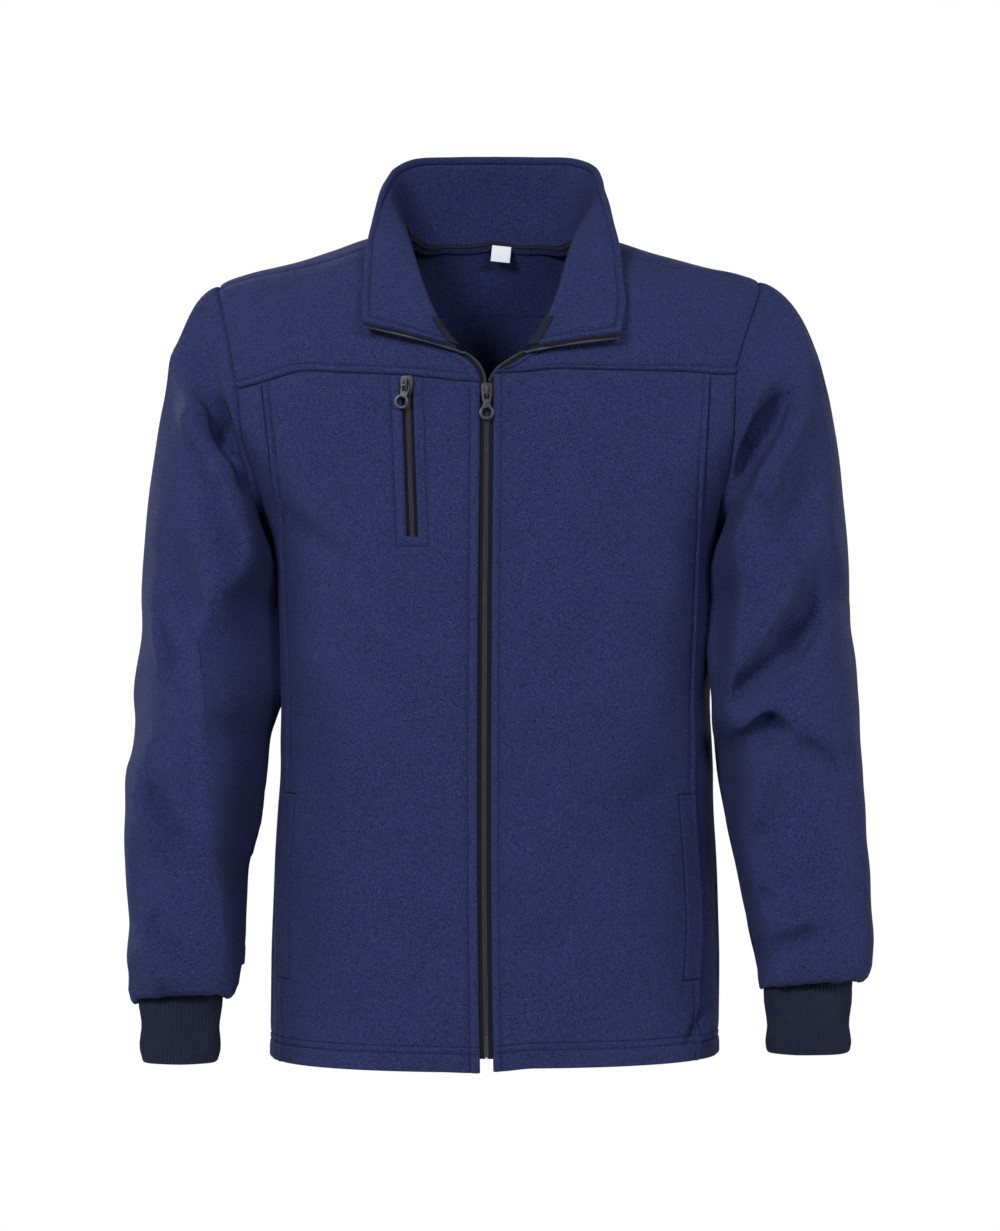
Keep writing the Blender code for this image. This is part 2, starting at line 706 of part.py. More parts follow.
def front_places(side, height):
    """Signed x of a front's columns at a height."""
    places = []
    for share in COLUMNS[side]:
        if share is None:
            edge = POCKET_HALF if len(places) == COLUMNS[side].index(None) else -POCKET_HALF
            places.append(pocket_middle(height) + edge)
        else:
            places.append(mix(front_edge(side, height), SIDES[side] * princess_table(side, height), share))
    return places


def seam_places(side):
    """Signed x of the yoke seam's points, from the zip to the armhole."""
    places = front_places(side, POCKET_TOP)
    last = loop_frame(side, loop_part(side, "yoke")[0])[0][0]
    return places + [mix(places[-1], last, share) for share in spread(0, 1, SIDE_COUNT)[1:]]


def on_yoke_seam(side, x):
    z = yoke_table(side, abs(x))
    return body_frame(angle_at(x, z), z)


def front_panel(side):
    rows = seam_rows(side)
    slot_row = min(range(len(rows)), key=lambda j: abs(rows[j] - POCKET_BOTTOM))
    columns = COLUMNS[side]
    frames = [[] for _ in columns]
    for j, height in enumerate(rows):
        for i, line in enumerate(frames):
            z = POCKET_BOTTOM if j == slot_row and 0 < i < len(columns) - 2 else height
            if j == 0:
                z -= HEM_DROP[side] * (i < 2)
            line.append(body_frame(angle_at(front_places(side, z)[i], z), z))
    for line, x in zip(frames, seam_places(side)):
        line.append(on_yoke_seam(side, x))
    first = columns.index(None) if None in columns else None
    hole = (first, first + 1, slot_row, len(rows)) if first else None
    return panel("front_panel_" + side, frames, ("end", "high"), hem=True, hole=hole)


def pocket_middle(height):
    return mix(POCKET_ACROSS[1], POCKET_ACROSS[0],
               (height - POCKET_BOTTOM) / (POCKET_TOP - POCKET_BOTTOM))


def side_panel(side):
    sign = SIDES[side]
    start, end = loop_part(side, "side")
    top = seam_places(side)[-SIDE_COUNT - 1:]
    frames = []
    for share, x_top in zip(spread(0, 1, SIDE_COUNT), top):
        line = []
        for z in low_rows(side):
            near = angle_at(sign * princess_table(side, z), z)
            line.append(body_frame(mix(near, sign * side_table("angle", z), share), z))
        for index in range(start, end):
            x_far, _, z = loop_frame(side, index)[0]
            near = angle_at(sign * princess_table(side, z), z)
            line.append(body_frame(mix(near, angle_at(x_far, z), share), z))
        line.append(on_yoke_seam(side, x_top))
        frames.append(line)
    return panel("side_panel_" + side, frames, ("start", "end", "high"), hem=True)


def neck_edge_heights(side):
    """Rows of the front yoke's inner edge: two along the open zip, the rest on the neck seam."""
    low = yoke_table(side, abs(front_edge(side, -120.0)))
    return [low, mix(low, NECK_SEAM_END, 0.6)] + spread(NECK_SEAM_END, 0.0, NECK_ROWS)


def yoke_shares(side):
    """Columns of the front yoke, in line with those of the panels below its seam."""
    places = seam_places(side)
    return [(x - places[0]) / (places[-1] - places[0]) for x in places]


def shoulder_places(side):
    """Signed x of the shoulder seam's points, from the neck to the armhole."""
    neck = SIDES[side] * neck_front_table(side, 0.0)
    arm = loop_frame(side, loop_part(side, "shoulder")[0])[0][0]
    return [mix(neck, arm, share) for share in yoke_shares(side)]


def front_yoke(side):
    sign = SIDES[side]
    start, end = loop_part(side, "yoke")
    inner_edge = []
    for z in neck_edge_heights(side):
        x = sign * neck_front_table(side, z)
        inner_edge.append((x, turn_at(x, z)))
    x_start, x_end = seam_places(side)[0], inner_edge[-1][0]
    inner_edge[0] = (x_start, turn_at(x_start, yoke_table(side, abs(x_start))))
    inner_edge[-1] = (x_end, turn_at(x_end, shoulder_seam_height(x_end)))
    outer_edge = [(p[0], turn_at(p[0], p[2])) for p, _ in
                  (loop_frame(side, k) for k in range(start, end + 1))]
    rows = len(inner_edge) - 1
    frames = []
    for share in yoke_shares(side):
        line = []
        low_x = mix(inner_edge[0][0], outer_edge[0][0], share)
        high_x = mix(inner_edge[-1][0], outer_edge[-1][0], share)
        low_turn = turn_at(low_x, yoke_table(side, abs(low_x)))
        high_turn = turn_at(high_x, shoulder_seam_height(high_x))
        for j in range(rows + 1):
            t = j / rows
            # a patch between its four edges
            line_x = mix(inner_edge[j][0], outer_edge[j][0], share) + mix(low_x, high_x, t)
            line_turn = mix(inner_edge[j][1], outer_edge[j][1], share) + mix(low_turn, high_turn, t)
            x = line_x - mix(mix(inner_edge[0][0], outer_edge[0][0], share),
                             mix(inner_edge[-1][0], outer_edge[-1][0], share), t)
            turn = line_turn - mix(mix(inner_edge[0][1], outer_edge[0][1], share),
                                   mix(inner_edge[-1][1], outer_edge[-1][1], share), t)
            line.append(shoulder_frame(x, turn))
        frames.append(line)
    return panel("front_yoke_" + side, frames, ("start", "end", "low", "high"))


def neck_back_places():
    """(x, turn) along the neck seam from the right shoulder seam round to the left one."""
    half = [(x, turn) for x, turn in NECK_BACK]
    ends = {side: neck_front_table(side, 0.0) for side in SIDES}
    right = (-ends["right"], turn_at(ends["right"], shoulder_seam_height(ends["right"])))
    left = (ends["left"], turn_at(ends["left"], shoulder_seam_height(ends["left"])))
    middle = [(-x, turn) for x, turn in reversed(half)] + half[1:]
    return [right] + middle + [left]


def back_yoke():
    neck = neck_back_places()
    outer = {}
    for side in SIDES:
        start, end = loop_part(side, "shoulder")
        outer[side] = [loop_frame(side, k)[0] for k in range(end, start - 1, -1)]
    tops = [(x, None) for x in shoulder_places("right")[:0:-1]] + neck
    tops += [(x, None) for x in shoulder_places("left")[1:]]
    back_right, back_left = outer["right"][0][0], outer["left"][0][0]
    lows = [mix(-BACK_INNER, back_right, share) for share in yoke_shares("right")[:0:-1]]
    lows += spread(-BACK_INNER, BACK_INNER, len(neck) - 1)
    lows += [mix(BACK_INNER, back_left, share) for share in yoke_shares("left")[1:]]
    frames = []
    rows = dict(LOOP_PARTS)["shoulder"]
    for (x_top, turn_top), x_low in zip(tops, lows):
        if turn_top is None:
            turn_top = turn_at(x_top, shoulder_seam_height(x_top))
        turn_low = turn_at(x_low, back_yoke_table("height", abs(x_low)), False)
        line = []
        for t in spread(0, 1, rows):
            line.append(shoulder_frame(mix(x_low, x_top, t), mix(turn_low, turn_top, t)))
        frames.append(line)
    return panel("back_yoke", frames, ("start", "end", "low", "high"))


def back_panel():
    frames = []
    parts = {side: loop_part(side, "back") for side in SIDES}
    rows = {side: [loop_frame(side, k)[0] for k in range(parts[side][1], parts[side][0] - 1, -1)]
            for side in SIDES}
    for share in spread(0, 1, BACK_COUNT):
        line = []
        for low_left, low_right in zip(low_rows("left"), low_rows("right")):
            z = mix(low_left, low_right, smooth_step((share - 0.4) * 5))
            reach = 360 - 2 * side_table("angle", z)
            line.append(body_frame(side_table("angle", z) + reach * share, z))
        for right, left in zip(rows["right"], rows["left"]):
            z = mix(left[2], right[2], share)
            a_left = angle_at(left[0], left[2], False)
            a_right = 360 + angle_at(right[0], right[2], False)
            angle = mix(a_left, a_right, share)
            if left is rows["left"][-1]:
                z = back_yoke_table("height", abs(body_section(angle, z)[0]))
            line.append(body_frame(angle, z))
        frames.append(line)
    return panel("back_panel", frames, ("start", "end", "high"), hem=True)


# ------------------------------------------------------------------ sleeves
def sleeve_section(side, height, angle):
    """Angle 0 is outermost, 90 in front, 180 next to the body."""
    table = sleeve_tables[side]
    turn = math.radians(angle)
    power = 2.0 / SLEEVE_SQUARE
    outer, inner = table("outer", height), table("inner", height)
    forward = table("half_depth", height) * signed_power(math.sin(turn), power)
    across = (outer - inner) / 2 * signed_power(math.cos(turn), power)
    x = (outer + inner) / 2 + across - table("shear", height) * forward
    return np.array((SIDES[side] * x, table("middle", height) - forward, height))


def cuff_section(side, height, angle, grow=0.0):
    cuff = CUFFS[side]
    turn = math.radians(angle)
    x = cuff["across"] + (cuff["half"] + grow) * math.cos(turn)
    y = CUFF_MIDDLE - (CUFF_HALF_DEPTH + grow) * math.sin(turn)
    return np.array((SIDES[side] * x, y, height))


def loop_angles(side):
    """Angle round the sleeve for each point of the armhole, by length from the crest."""
    points = [f[0] for f in loops[side]]
    start, end = loop_part(side, "shoulder")
    crest = max(range(start, end + 1), key=lambda k: points[k % len(points)][2])
    front = [points[k] for k in range(crest, -1, -1)]
    back = [points[k] for k in range(crest, len(points))] + [points[0]]

    def shares(run):
        lengths = np.cumsum([0.0] + [np.linalg.norm(b - a) for a, b in zip(run, run[1:])])
        return lengths / lengths[-1]

    angles = [0.0] * len(points)
    for k, share in zip(range(crest, -1, -1), shares(front)):
        angles[k] = 180.0 * share
    for k, share in zip(range(crest, len(points)), shares(back)):
        angles[k] = 360.0 - 180.0 * share
    return angles


def sleeve(side):
    sign = SIDES[side]
    frames = loops[side]
    count = len(frames)
    angles = loop_angles(side)
    table = sleeve_tables[side]
    cuff = CUFFS[side]
    pull_start, pull_end = CAP_PULLS[side]
    top_height = max(table.at)
    bottom_z, crest_z = frames[0][0][2], max(f[0][2] for f in frames)
    sections = spread(top_height, -420.0, 3) + spread(-420.0, min(table.at), 6)[1:]
    lines = []
    for k, (point, normal) in enumerate(frames):
        before, after = loop_frame(side, k - 1)[0], loop_frame(side, k + 1)[0]
        along = unit(after - before)
        away = unit(np.cross(along, normal))
        if np.dot(away, np.array((sign, 0, 0.6 if k == 0 else 0))) < 0:
            away = -away
        high = smooth_step((point[2] - bottom_z) / (crest_z - bottom_z))
        start = unit(away * mix(0.15, 1.0, high) + normal * mix(1.0, 0.12, high))
        target = sleeve_section(side, top_height, angles[k])
        run = np.linalg.norm(target - point)
        first = point + away * SEAM_GAP
        line = []
        for t in CAP_STEPS:
            line.append((2 * t**3 - 3 * t**2 + 1) * first
                        + (t**3 - 2 * t**2 + t) * start * run * pull_start
                        + (3 * t**2 - 2 * t**3) * target
                        + (t**3 - t**2) * np.array((0, 0, -1.0)) * run * pull_end)
        line += [sleeve_section(side, z, angles[k]) for z in sections[:-1]]
        for over, share in SLEEVE_END:
            z = cuff["bottom"] + over
            wide = sleeve_section(side, min(table.at), angles[k])
            narrow = cuff_section(side, z, angles[k], FLEECE + RIB_HEIGHT + 0.5)
            spot = mix(wide, narrow, share)
            line.append(np.array((spot[0], spot[1], z)))
        lines.append(line)
    outer = fold_sleeve(side, lines)
    normals = grid_normals(outer, sign)
    inner = [[p - n * FLEECE for p, n in zip(line, norm)] for line, norm in zip(outer, normals)]
    for k, (point, normal) in enumerate(frames):
        before, after = loop_frame(side, k - 1)[0], loop_frame(side, k + 1)[0]
        away = unit(np.cross(unit(after - before), normal))
        if np.dot(away, np.array((sign, 0, 0.6 if k == 0 else 0))) < 0:
            away = -away
        outer[k][0] = lay((point, normal)) + away * SEAM_GAP
        inner[k][0] = lay((point, normal), FLEECE) + away * SEAM_GAP
    for k in range(count):
        end = outer[k][-1]
        middle = np.array((sign * cuff["across"], CUFF_MIDDLE, end[2]))
        inner[k][-1] = end + unit(middle - end) * FLEECE
    return wall("sleeve_" + side, outer, inner, "fleece", closed=True)


def grid_normals(lines, sign):
    """Outward normals of a tube's grid of points."""
    count, rows = len(lines), len(lines[0])
    normals = []
    for k in range(count):
        row = []
        for j in range(rows):
            around = lines[(k + 1) % count][j] - lines[k - 1][j]
            down = lines[k][min(j + 1, rows - 1)] - lines[k][max(j - 1, 0)]
            row.append(unit(np.cross(around, down)) * sign)
        normals.append(row)
    middle = sum(line[rows // 2] for line in lines) / count
    if np.dot(normals[0][rows // 2], lines[0][rows // 2] - middle) < 0:
        normals = [[-n for n in row] for row in normals]
    return normals


def fold_sleeve(side, lines):
    normals = grid_normals(lines, SIDES[side])
    rows = len(lines[0])
    folded = []
    for line, norm in zip(lines, normals):
        out = []
        for j, (p, n) in enumerate(zip(line, norm)):
            fade = smooth_step(j / 3.0) * smooth_step((rows - 1 - j) / 4.0)
            out.append(p + n * fade * fold_rise(SLEEVE_FOLDS[side], p[0], p[2], n[1]))
        folded.append(out)
    return folded


# -------------------------------------------------------------------- cuffs
def cuff(side):
    """Ribs run up and down; their ridges stand out from a plain inside."""
    size = CUFFS[side]
    outer_count = CUFF_RIBS * 2
    inner_count = outer_count // OUTER_PER_INNER
    heights = spread(size["low"], size["high"], 2)
    bm = bmesh.new()
    outer, inner = [], []
    for z in heights:
        grow = -1.0 * smooth_step((size["low"] + 10 - z) / 10)
        ring = []
        for k in range(outer_count):
            rib = RIB_HEIGHT if k % 2 else 0.0
            ring.append(bm.verts.new(Vector(cuff_section(side, z, 360 * k / outer_count, grow + rib)) * MM))
        outer.append(ring)
        inner.append([bm.verts.new(Vector(cuff_section(side, z, 360 * k / inner_count, grow - CUFF_WALL)) * MM)
                      for k in range(inner_count)])
    for rings, flip in ((outer, False), (inner, True)):
        for low, high in zip(rings, rings[1:]):
            n = len(low)
            for k in range(n):
                face = [low[k], low[(k + 1) % n], high[(k + 1) % n], high[k]]
                bm.faces.new(face[::-1] if flip else face)
    half = OUTER_PER_INNER // 2
    for rib_ring, plain_ring in ((outer[0], inner[0]), (outer[-1], inner[-1])):
        for k in range(inner_count):
            a, b = plain_ring[k], plain_ring[(k + 1) % inner_count]
            run = [rib_ring[(k * OUTER_PER_INNER + i) % outer_count] for i in range(OUTER_PER_INNER + 1)]
            for i in range(half):
                bm.faces.new([run[i], run[i + 1], a])
            bm.faces.new([run[half], b, a])
            for i in range(half, OUTER_PER_INNER):
                bm.faces.new([run[i], run[i + 1], b])
    return place("cuff_" + side, bm, "rib", sharp=80)


# ------------------------------------------------------------------- collar
def neck_seam_frames():
    """Frames along the whole neck seam, from the right front end to the left one."""
    frames = []
    for side in ("right", "left"):
        heights = [z for z in neck_edge_heights(side) if z >= NECK_SEAM_END]
        run = []
        for z in heights[:-1]:
            x = SIDES[side] * neck_front_table(side, z)
            run.append(shoulder_frame(x, turn_at(x, z)))
        if side == "right":
            frames += run
            frames += [shoulder_frame(x, turn) for x, turn in neck_back_places()]
        else:
            frames += run[::-1]
    return frames


def collar_guides():
    """For each place on the neck seam: tail, foot, roll and top of the collar's middle."""
    frames = neck_seam_frames()
    points = [f[0] for f in frames]
    lengths = np.cumsum([0.0] + [np.linalg.norm(b - a) for a, b in zip(points, points[1:])])
    back = min(range(len(points)), key=lambda k: abs(points[k][0]) + (0 if points[k][1] > 0 else 1e3))
    guides = []
    for k, (point, normal) in enumerate(frames):
        before, after = points[max(k - 1, 0)], points[min(k + 1, len(points) - 1)]
        inwards = unit(np.cross(normal, unit(after - before)))
        hole = np.array((0.0, 0.0, 30.0)) - point
        if np.dot(inwards, hole) < 0:
            inwards = -inwards
        side = "right" if k < back else "left"
        run = lengths[back] if side == "right" else lengths[-1] - lengths[back]
        share = abs(lengths[k] - lengths[back]) / run
        table = collar_tables[side]
        top = np.array((SIDES[side] * table("across", share), table("depth", share),
                        table("height", share)))
        tail = point + inwards * COLLAR_SETBACK - normal * COLLAR_TAIL
        foot = point + inwards * COLLAR_SETBACK + normal * COLLAR_FOOT
        roll = point + inwards * COLLAR_SETBACK + normal * mix(5.0, COLLAR_ROLL, share)
        guides.append((tail, foot, roll, top))
    return guides


def collar_middle(guide, h):
    _, foot, roll, top = guide
    return (1 - h) ** 2 * foot + 2 * h * (1 - h) * roll + h**2 * top


def collar_grid():
    guides = collar_guides()
    return [[g[0]] + [collar_middle(g, h) for h in COLLAR_ROWS] for g in guides]


def open_normals(lines, inside):
    """Normals of an open grid, turned towards a point."""
    count, rows = len(lines), len(lines[0])
    normals = []
    for k in range(count):
        row = []
        for j in range(rows):
            along = lines[min(k + 1, count - 1)][j] - lines[max(k - 1, 0)][j]
            up = lines[k][min(j + 1, rows - 1)] - lines[k][max(j - 1, 0)]
            row.append(unit(np.cross(along, up)))
        normals.append(row)
    middle = count // 2
    if np.dot(normals[middle][1], inside - lines[middle][1]) < 0:
        normals = [[-n for n in row] for row in normals]
    return normals


def collar():
    lines = collar_grid()
    normals = open_normals(lines, np.array((0.0, 0.0, 40.0)))
    for name, near, far in (("collar_inner", SEAM_GAP / 2, SEAM_GAP / 2 + COLLAR_LAYER),
                            ("collar_outer", -SEAM_GAP / 2, -SEAM_GAP / 2 - COLLAR_LAYER)):
        faces = [[[p + n * d for p, n in zip(line, norm)] for line, norm in zip(lines, normals)]
                 for d in (near, far)]
        wall(name, faces[1], faces[0], "fleece")
    return lines, normals


# --------------------------------------------------------------- neck parts
def strip(name, edge_a, edge_b, normals, thick, key):
    """Flat strip between two edges, its face moved along the normals by the thickness."""
    outer = [list(pair) for pair in zip(edge_a, edge_b)]
    inner = [[p - n * thick for p in pair] for pair, n in zip(outer, normals)]
    return wall(name, outer, inner, key)


def neck_tape(lines, normals):
    """Tape over the neck seam inside the collar, round the back and at both front ends."""
    near = SEAM_GAP / 2 + COLLAR_LAYER + 2 * SEAM_GAP
    count = len(lines)
    runs = {"neck_tape": range(NECK_ROWS, count - NECK_ROWS),
            "neck_tape_end_right": range(0, NECK_END_COLUMNS),
            "neck_tape_end_left": range(count - NECK_END_COLUMNS, count)}
    for name, places in runs.items():
        faces = []
        for lift in (near + TAPE_THICK, near):
            faces.append([[lines[k][j] + normals[k][j] * lift for j in range(NECK_TAPE_ROWS)]
                          for k in places])
        wall(name, faces[0], faces[1], "neck")


def size_label(lines, normals):
    """Blank label hanging from the neck tape, just beside the middle of the back."""
    k = min(range(len(lines)), key=lambda i: abs(lines[i][0][0] - LABEL_ACROSS) + max(0.0, -lines[i][0][1]))
    foot = lines[k][0] + normals[k][0] * (COLLAR_LAYER + 2 * SEAM_GAP + 2 * TAPE_THICK + 0.5)
    wide, tall, thick = LABEL_SIZE
    bm = bmesh.new()
    bmesh.ops.create_cube(bm, size=1.0)
    for v in bm.verts:
        v.co = Vector((v.co.x * wide * MM, v.co.y * thick * MM, v.co.z * tall * MM))
    thing = place("size_label", bm, "label")
    thing.location = Vector(foot + np.array(LABEL_SHIFT) - np.array((0, 0, tall / 2))) * MM
    thing.rotation_euler = (math.radians(LABEL_LEAN[0]), math.radians(LABEL_LEAN[1]), 0)
    return thing


# --------------------------------------------------------------------- zips
def tape_places(side):
    """Edges of one half of the front zip's tape, with normals, from the hem to the collar's tip."""
    sign = SIDES[side]
    sunk = FLEECE + TAPE_SINK
    free, hidden, facing = [], [], []
    for z in spread(ZIP_END, -150.0, 16) + [-138.0, -128.0]:
        middle = zip_table("across", z)
        for run, off in ((free, COIL_HALF), (hidden, ZIP_OPENING / 2 + TAPE_HIDDEN)):
            frame = body_frame(angle_at(middle + sign * off, z), z)
            run.append(lay(frame, sunk))
        facing.append(frame[1])
    low = yoke_table(side, abs(front_edge(side, -120.0)))
    for z in (mix(low, NECK_SEAM_END, 0.2), mix(low, NECK_SEAM_END, 0.5), mix(low, NECK_SEAM_END, 0.8)):
        x = sign * neck_front_table(side, z)
        point, normal = shoulder_frame(x, turn_at(x, z))
        x_next = sign * neck_front_table(side, z + 2.0)
        along = unit(shoulder_frame(x_next, turn_at(x_next, z + 2.0))[0] - point)
        out = unit(np.cross(along, normal))
        if out[0] * sign > 0:
            out = -out
        free.append(point + out * TAPE_LIP - normal * sunk)
        hidden.append(point - out * TAPE_HIDDEN * 0.8 - normal * sunk)
        facing.append(normal)
    return free, hidden, facing


def collar_tape_places(side, lines, normals):
    """The tape's lip along the collar's front edge."""
    k, inner = (0, 1) if side == "right" else (len(lines) - 1, len(lines) - 2)
    free, near, facing = [], [], []
    for j in range(1, len(lines[k])):
        out = unit(lines[k][j] - lines[inner][j])
        face = normals[k][j]
        base = lines[k][j] + face * TAPE_THICK / 2
        free.append(base + out * (TAPE_LIP + SEAM_GAP))
        near.append(base + out * SEAM_GAP)
        facing.append(face)
    return free, near, facing


def zip_tapes(lines, normals):
    for side in SIDES:
        free, hidden, facing = tape_places(side)
        strip("zip_tape_" + side, free, hidden, facing, TAPE_THICK, "tape")
        free, near, facing = collar_tape_places(side, lines, normals)
        strip("collar_zip_tape_" + side, free, near, facing, TAPE_THICK, "tape")


def pocket_tape():
    sunk = FLEECE + TAPE_SINK
    left, right, facing = [], [], []
    for z in spread(POCKET_BOTTOM - POCKET_TAPE_OVER, POCKET_TOP - 0.5, 8):
        for run, off in ((left, -POCKET_TAPE_HALF), (right, POCKET_TAPE_HALF)):
            frame = body_frame(angle_at(pocket_middle(z) + off, z), z)
            run.append(lay(frame, sunk))
        facing.append(body_frame(angle_at(pocket_middle(z), z), z)[1])
    strip("pocket_zip_tape", left, right, facing, TAPE_THICK, "tape")


def box(bm, size, centre):
    """Add a box, sizes and centre in millimetres."""
    made = bmesh.ops.create_cube(bm, size=1.0)
    for v in made["verts"]:
        v.co = Vector([(v.co[i] * size[i] + centre[i]) * MM for i in range(3)])


def add_boolean(thing, other, operation):
    cut = thing.modifiers.new(other.name, "BOOLEAN")
    cut.operation = operation
    cut.solver = "EXACT"
    cut.object = other
    other.hide_render = True
    other.display_type = "WIRE"


def flat_plate(name, outline, front, thick):
    """Plate of an outline (x, z), from its front face's y backwards."""
    bm = bmesh.new()
    face = bm.faces.new([bm.verts.new(Vector((x, front, z)) * MM) for x, z in outline])
    made = bmesh.ops.extrude_face_region(bm, geom=[face])
    back = [v for v in made["geom"] if isinstance(v, bmesh.types.BMVert)]
    bmesh.ops.translate(bm, verts=back, vec=Vector((0, thick * MM, 0)))
    return place(name, bm, "zinc", sharp=35)


def mirrored(half):
    return half + [(-x, z) for x, z in reversed(half) if x > 0.01]


def slider(name, spot, turn, half, closed):
    """Zip slider: front plate, post and the bridge that holds the tab; closed has a back plate."""
    outline = mirrored([(half * wide, SLIDER_LENGTH * up) for wide, up in SLIDER_OUTLINE])
    plate = flat_plate(name, outline, -SLIDER_PLATE, SLIDER_PLATE)
    behind = SLIDER_INSIDE if closed else FLEECE + TAPE_SINK + PLATE_CLEAR - SEAM_GAP
    foot = BRIDGE_OUT + BRIDGE_THICK
    shapes = {
        "post": ((POST_WIDE, behind + SLIDER_PLATE, 3.0),
                 (0, (behind - SLIDER_PLATE) / 2, SLIDER_LENGTH / 2 - 2.2)),
        "back": ((1.5 * half, SLIDER_PLATE, SLIDER_LENGTH * 0.9),
                 (0, SLIDER_INSIDE + SLIDER_PLATE / 2 - 0.1, 0)),
        "foot_top": ((BRIDGE_WIDE, foot - 0.5, 1.4), (0, -(foot + 0.5) / 2, BRIDGE_TOP - 0.7)),
        "foot_low": ((BRIDGE_WIDE, foot - 0.5, 1.2), (0, -(foot + 0.5) / 2, BRIDGE_LOW + 0.6)),
        "bridge": ((BRIDGE_WIDE, BRIDGE_THICK, BRIDGE_TOP - BRIDGE_LOW),
                   (0, -foot + BRIDGE_THICK / 2, (BRIDGE_TOP + BRIDGE_LOW) / 2)),
    }
    if not closed:
        del shapes["back"]
    parts = [plate]
    for part, (size, centre) in shapes.items():
        piece = bmesh.new()
        box(piece, size, centre)
        other = place(name + "_" + part, piece, "zinc", collection="cutters")
        add_boolean(plate, other, "UNION")
        parts.append(other)
    for thing in parts:
        thing.location = Vector(spot) * MM
        thing.rotation_euler = (0, 0, turn)
    return plate


def pull_tab(name, long, spot, turn, lean, swing):
    """Tab with an eye round the bridge's foot at its top and a ring at its lower end.

    It turns about its own X axis, through the middle of the bar over the eye.
    """
    arc = [math.radians(t) for t in range(0, 141, 20)]
    half = [(PULL_RING * math.sin(a), PULL_RING - long - PULL_RING * math.cos(a)) for a in arc]
    half += [(PULL_WAIST, -EYE_LOW - PULL_NECK), (PULL_HEAD, -EYE_LOW),
             (PULL_HEAD, -EYE_BAR), (PULL_TOP, EYE_BAR)]
    tab = flat_plate(name, mirrored(half), -PULL_THICK / 2, PULL_THICK)
    hole = bmesh.new()
    bmesh.ops.create_cone(hole, cap_ends=True, segments=16, radius1=PULL_HOLE * MM,
                          radius2=PULL_HOLE * MM, depth=4 * MM)
    bmesh.ops.rotate(hole, verts=hole.verts, matrix=Matrix.Rotation(math.radians(90), 3, "X"))
    bmesh.ops.translate(hole, verts=hole.verts, vec=Vector((0, 0, (PULL_RING - long) * MM)))
    eye = bmesh.new()
    box(eye, (2 * EYE_HALF, 4.0, EYE_LOW - EYE_BAR), (0, 0, -(EYE_LOW + EYE_BAR) / 2))
    cutters = [place(name + "_ring_cut", hole, "zinc", collection="cutters"),
               place(name + "_eye_cut", eye, "zinc", collection="cutters")]
    for other in cutters:
        add_boolean(tab, other, "DIFFERENCE")
    for thing in [tab] + cutters:
        thing.location = Vector(spot) * MM
        thing.rotation_euler = (-lean, swing, turn)
    return tab


def sliders():
    """The front zip's slider sits round its tapes, the pocket's one over its slot."""
    for name, height, across, half, closed in (
            ("zip", ZIP_SLIDER_HEIGHT, zip_table("across", ZIP_SLIDER_HEIGHT), SLIDER_HALF, True),
            ("pocket_zip", POCKET_SLIDER_HEIGHT, pocket_middle(POCKET_SLIDER_HEIGHT),
             POCKET_SLIDER_HALF, False)):
        frame = body_frame(angle_at(across, height), height)
        facing = unit(np.array((frame[1][0], frame[1][1], 0.0)))
        turn = 0.0 if closed else math.atan2(facing[0], -facing[1])
        outwards = TAPE_TO_PLATE - FLEECE - TAPE_SINK if closed else PLATE_CLEAR
        spot = lay(frame) + facing * outwards
        slider(name + "_slider", spot, turn, half, closed)
        hinge = spot + facing * HINGE_OUT + np.array((0, 0, HINGE_UP))
        lean, swing = TAB_LEAN[name]
        pull_tab(name + "_pull", PULL_LENGTH[name], hinge, turn, math.radians(lean), math.radians(swing))


# -------------------------------------------------------------------- build
def clear():
    for thing in list(bpy.data.objects):
        bpy.data.objects.remove(thing, do_unlink=True)
    for name in ("fleece_zip_jacket", "cutters"):
        made = bpy.data.collections.new(name)
        bpy.context.scene.collection.children.link(made)


def main():
    clear()
    for side in SIDES:
        front_panel(side)
        side_panel(side)
        front_yoke(side)
        sleeve(side)
        cuff(side)
    back_yoke()
    back_panel()
    lines, normals = collar()
    neck_tape(lines, normals)
    size_label(lines, normals)
    zip_tapes(lines, normals)
    pocket_tape()
    sliders()


main()
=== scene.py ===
"""Looks of a fleece zip jacket, filled out with nobody in it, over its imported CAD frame.

Lengths in the tables are millimetres; meshes are made in metres, +Z up.
The front faces -Y, and the wearer's right side is at -X.
"""
import math

import bmesh
import bpy
import numpy as np
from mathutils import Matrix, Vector


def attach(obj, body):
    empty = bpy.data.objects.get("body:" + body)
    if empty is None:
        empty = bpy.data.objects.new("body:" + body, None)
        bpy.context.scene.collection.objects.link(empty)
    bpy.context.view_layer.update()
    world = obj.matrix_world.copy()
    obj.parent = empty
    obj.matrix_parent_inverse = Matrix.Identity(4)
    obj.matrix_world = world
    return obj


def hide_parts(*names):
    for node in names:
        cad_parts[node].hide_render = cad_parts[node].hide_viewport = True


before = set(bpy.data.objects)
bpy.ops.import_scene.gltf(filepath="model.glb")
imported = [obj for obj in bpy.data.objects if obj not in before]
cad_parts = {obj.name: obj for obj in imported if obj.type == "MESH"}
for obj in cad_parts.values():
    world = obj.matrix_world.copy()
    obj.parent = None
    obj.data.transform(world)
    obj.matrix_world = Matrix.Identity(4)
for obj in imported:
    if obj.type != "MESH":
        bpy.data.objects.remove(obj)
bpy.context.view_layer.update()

# ---------------------------------------------------------------- sizes, mm
MM = 0.001
FLEECE = 2.6              # one layer of fleece
COLLAR_LAYER = 2.3        # one of the collar's two layers
SEAM_GAP = 0.3            # between sewn pieces
SEAM_LAP = 0.12           # sewn edges run this far into each other
HEM_LEVEL = {"right": -681.0, "left": -678.0}
HEM_DROP = {"right": 0.8, "left": 2.6}    # how far the front corners hang lower
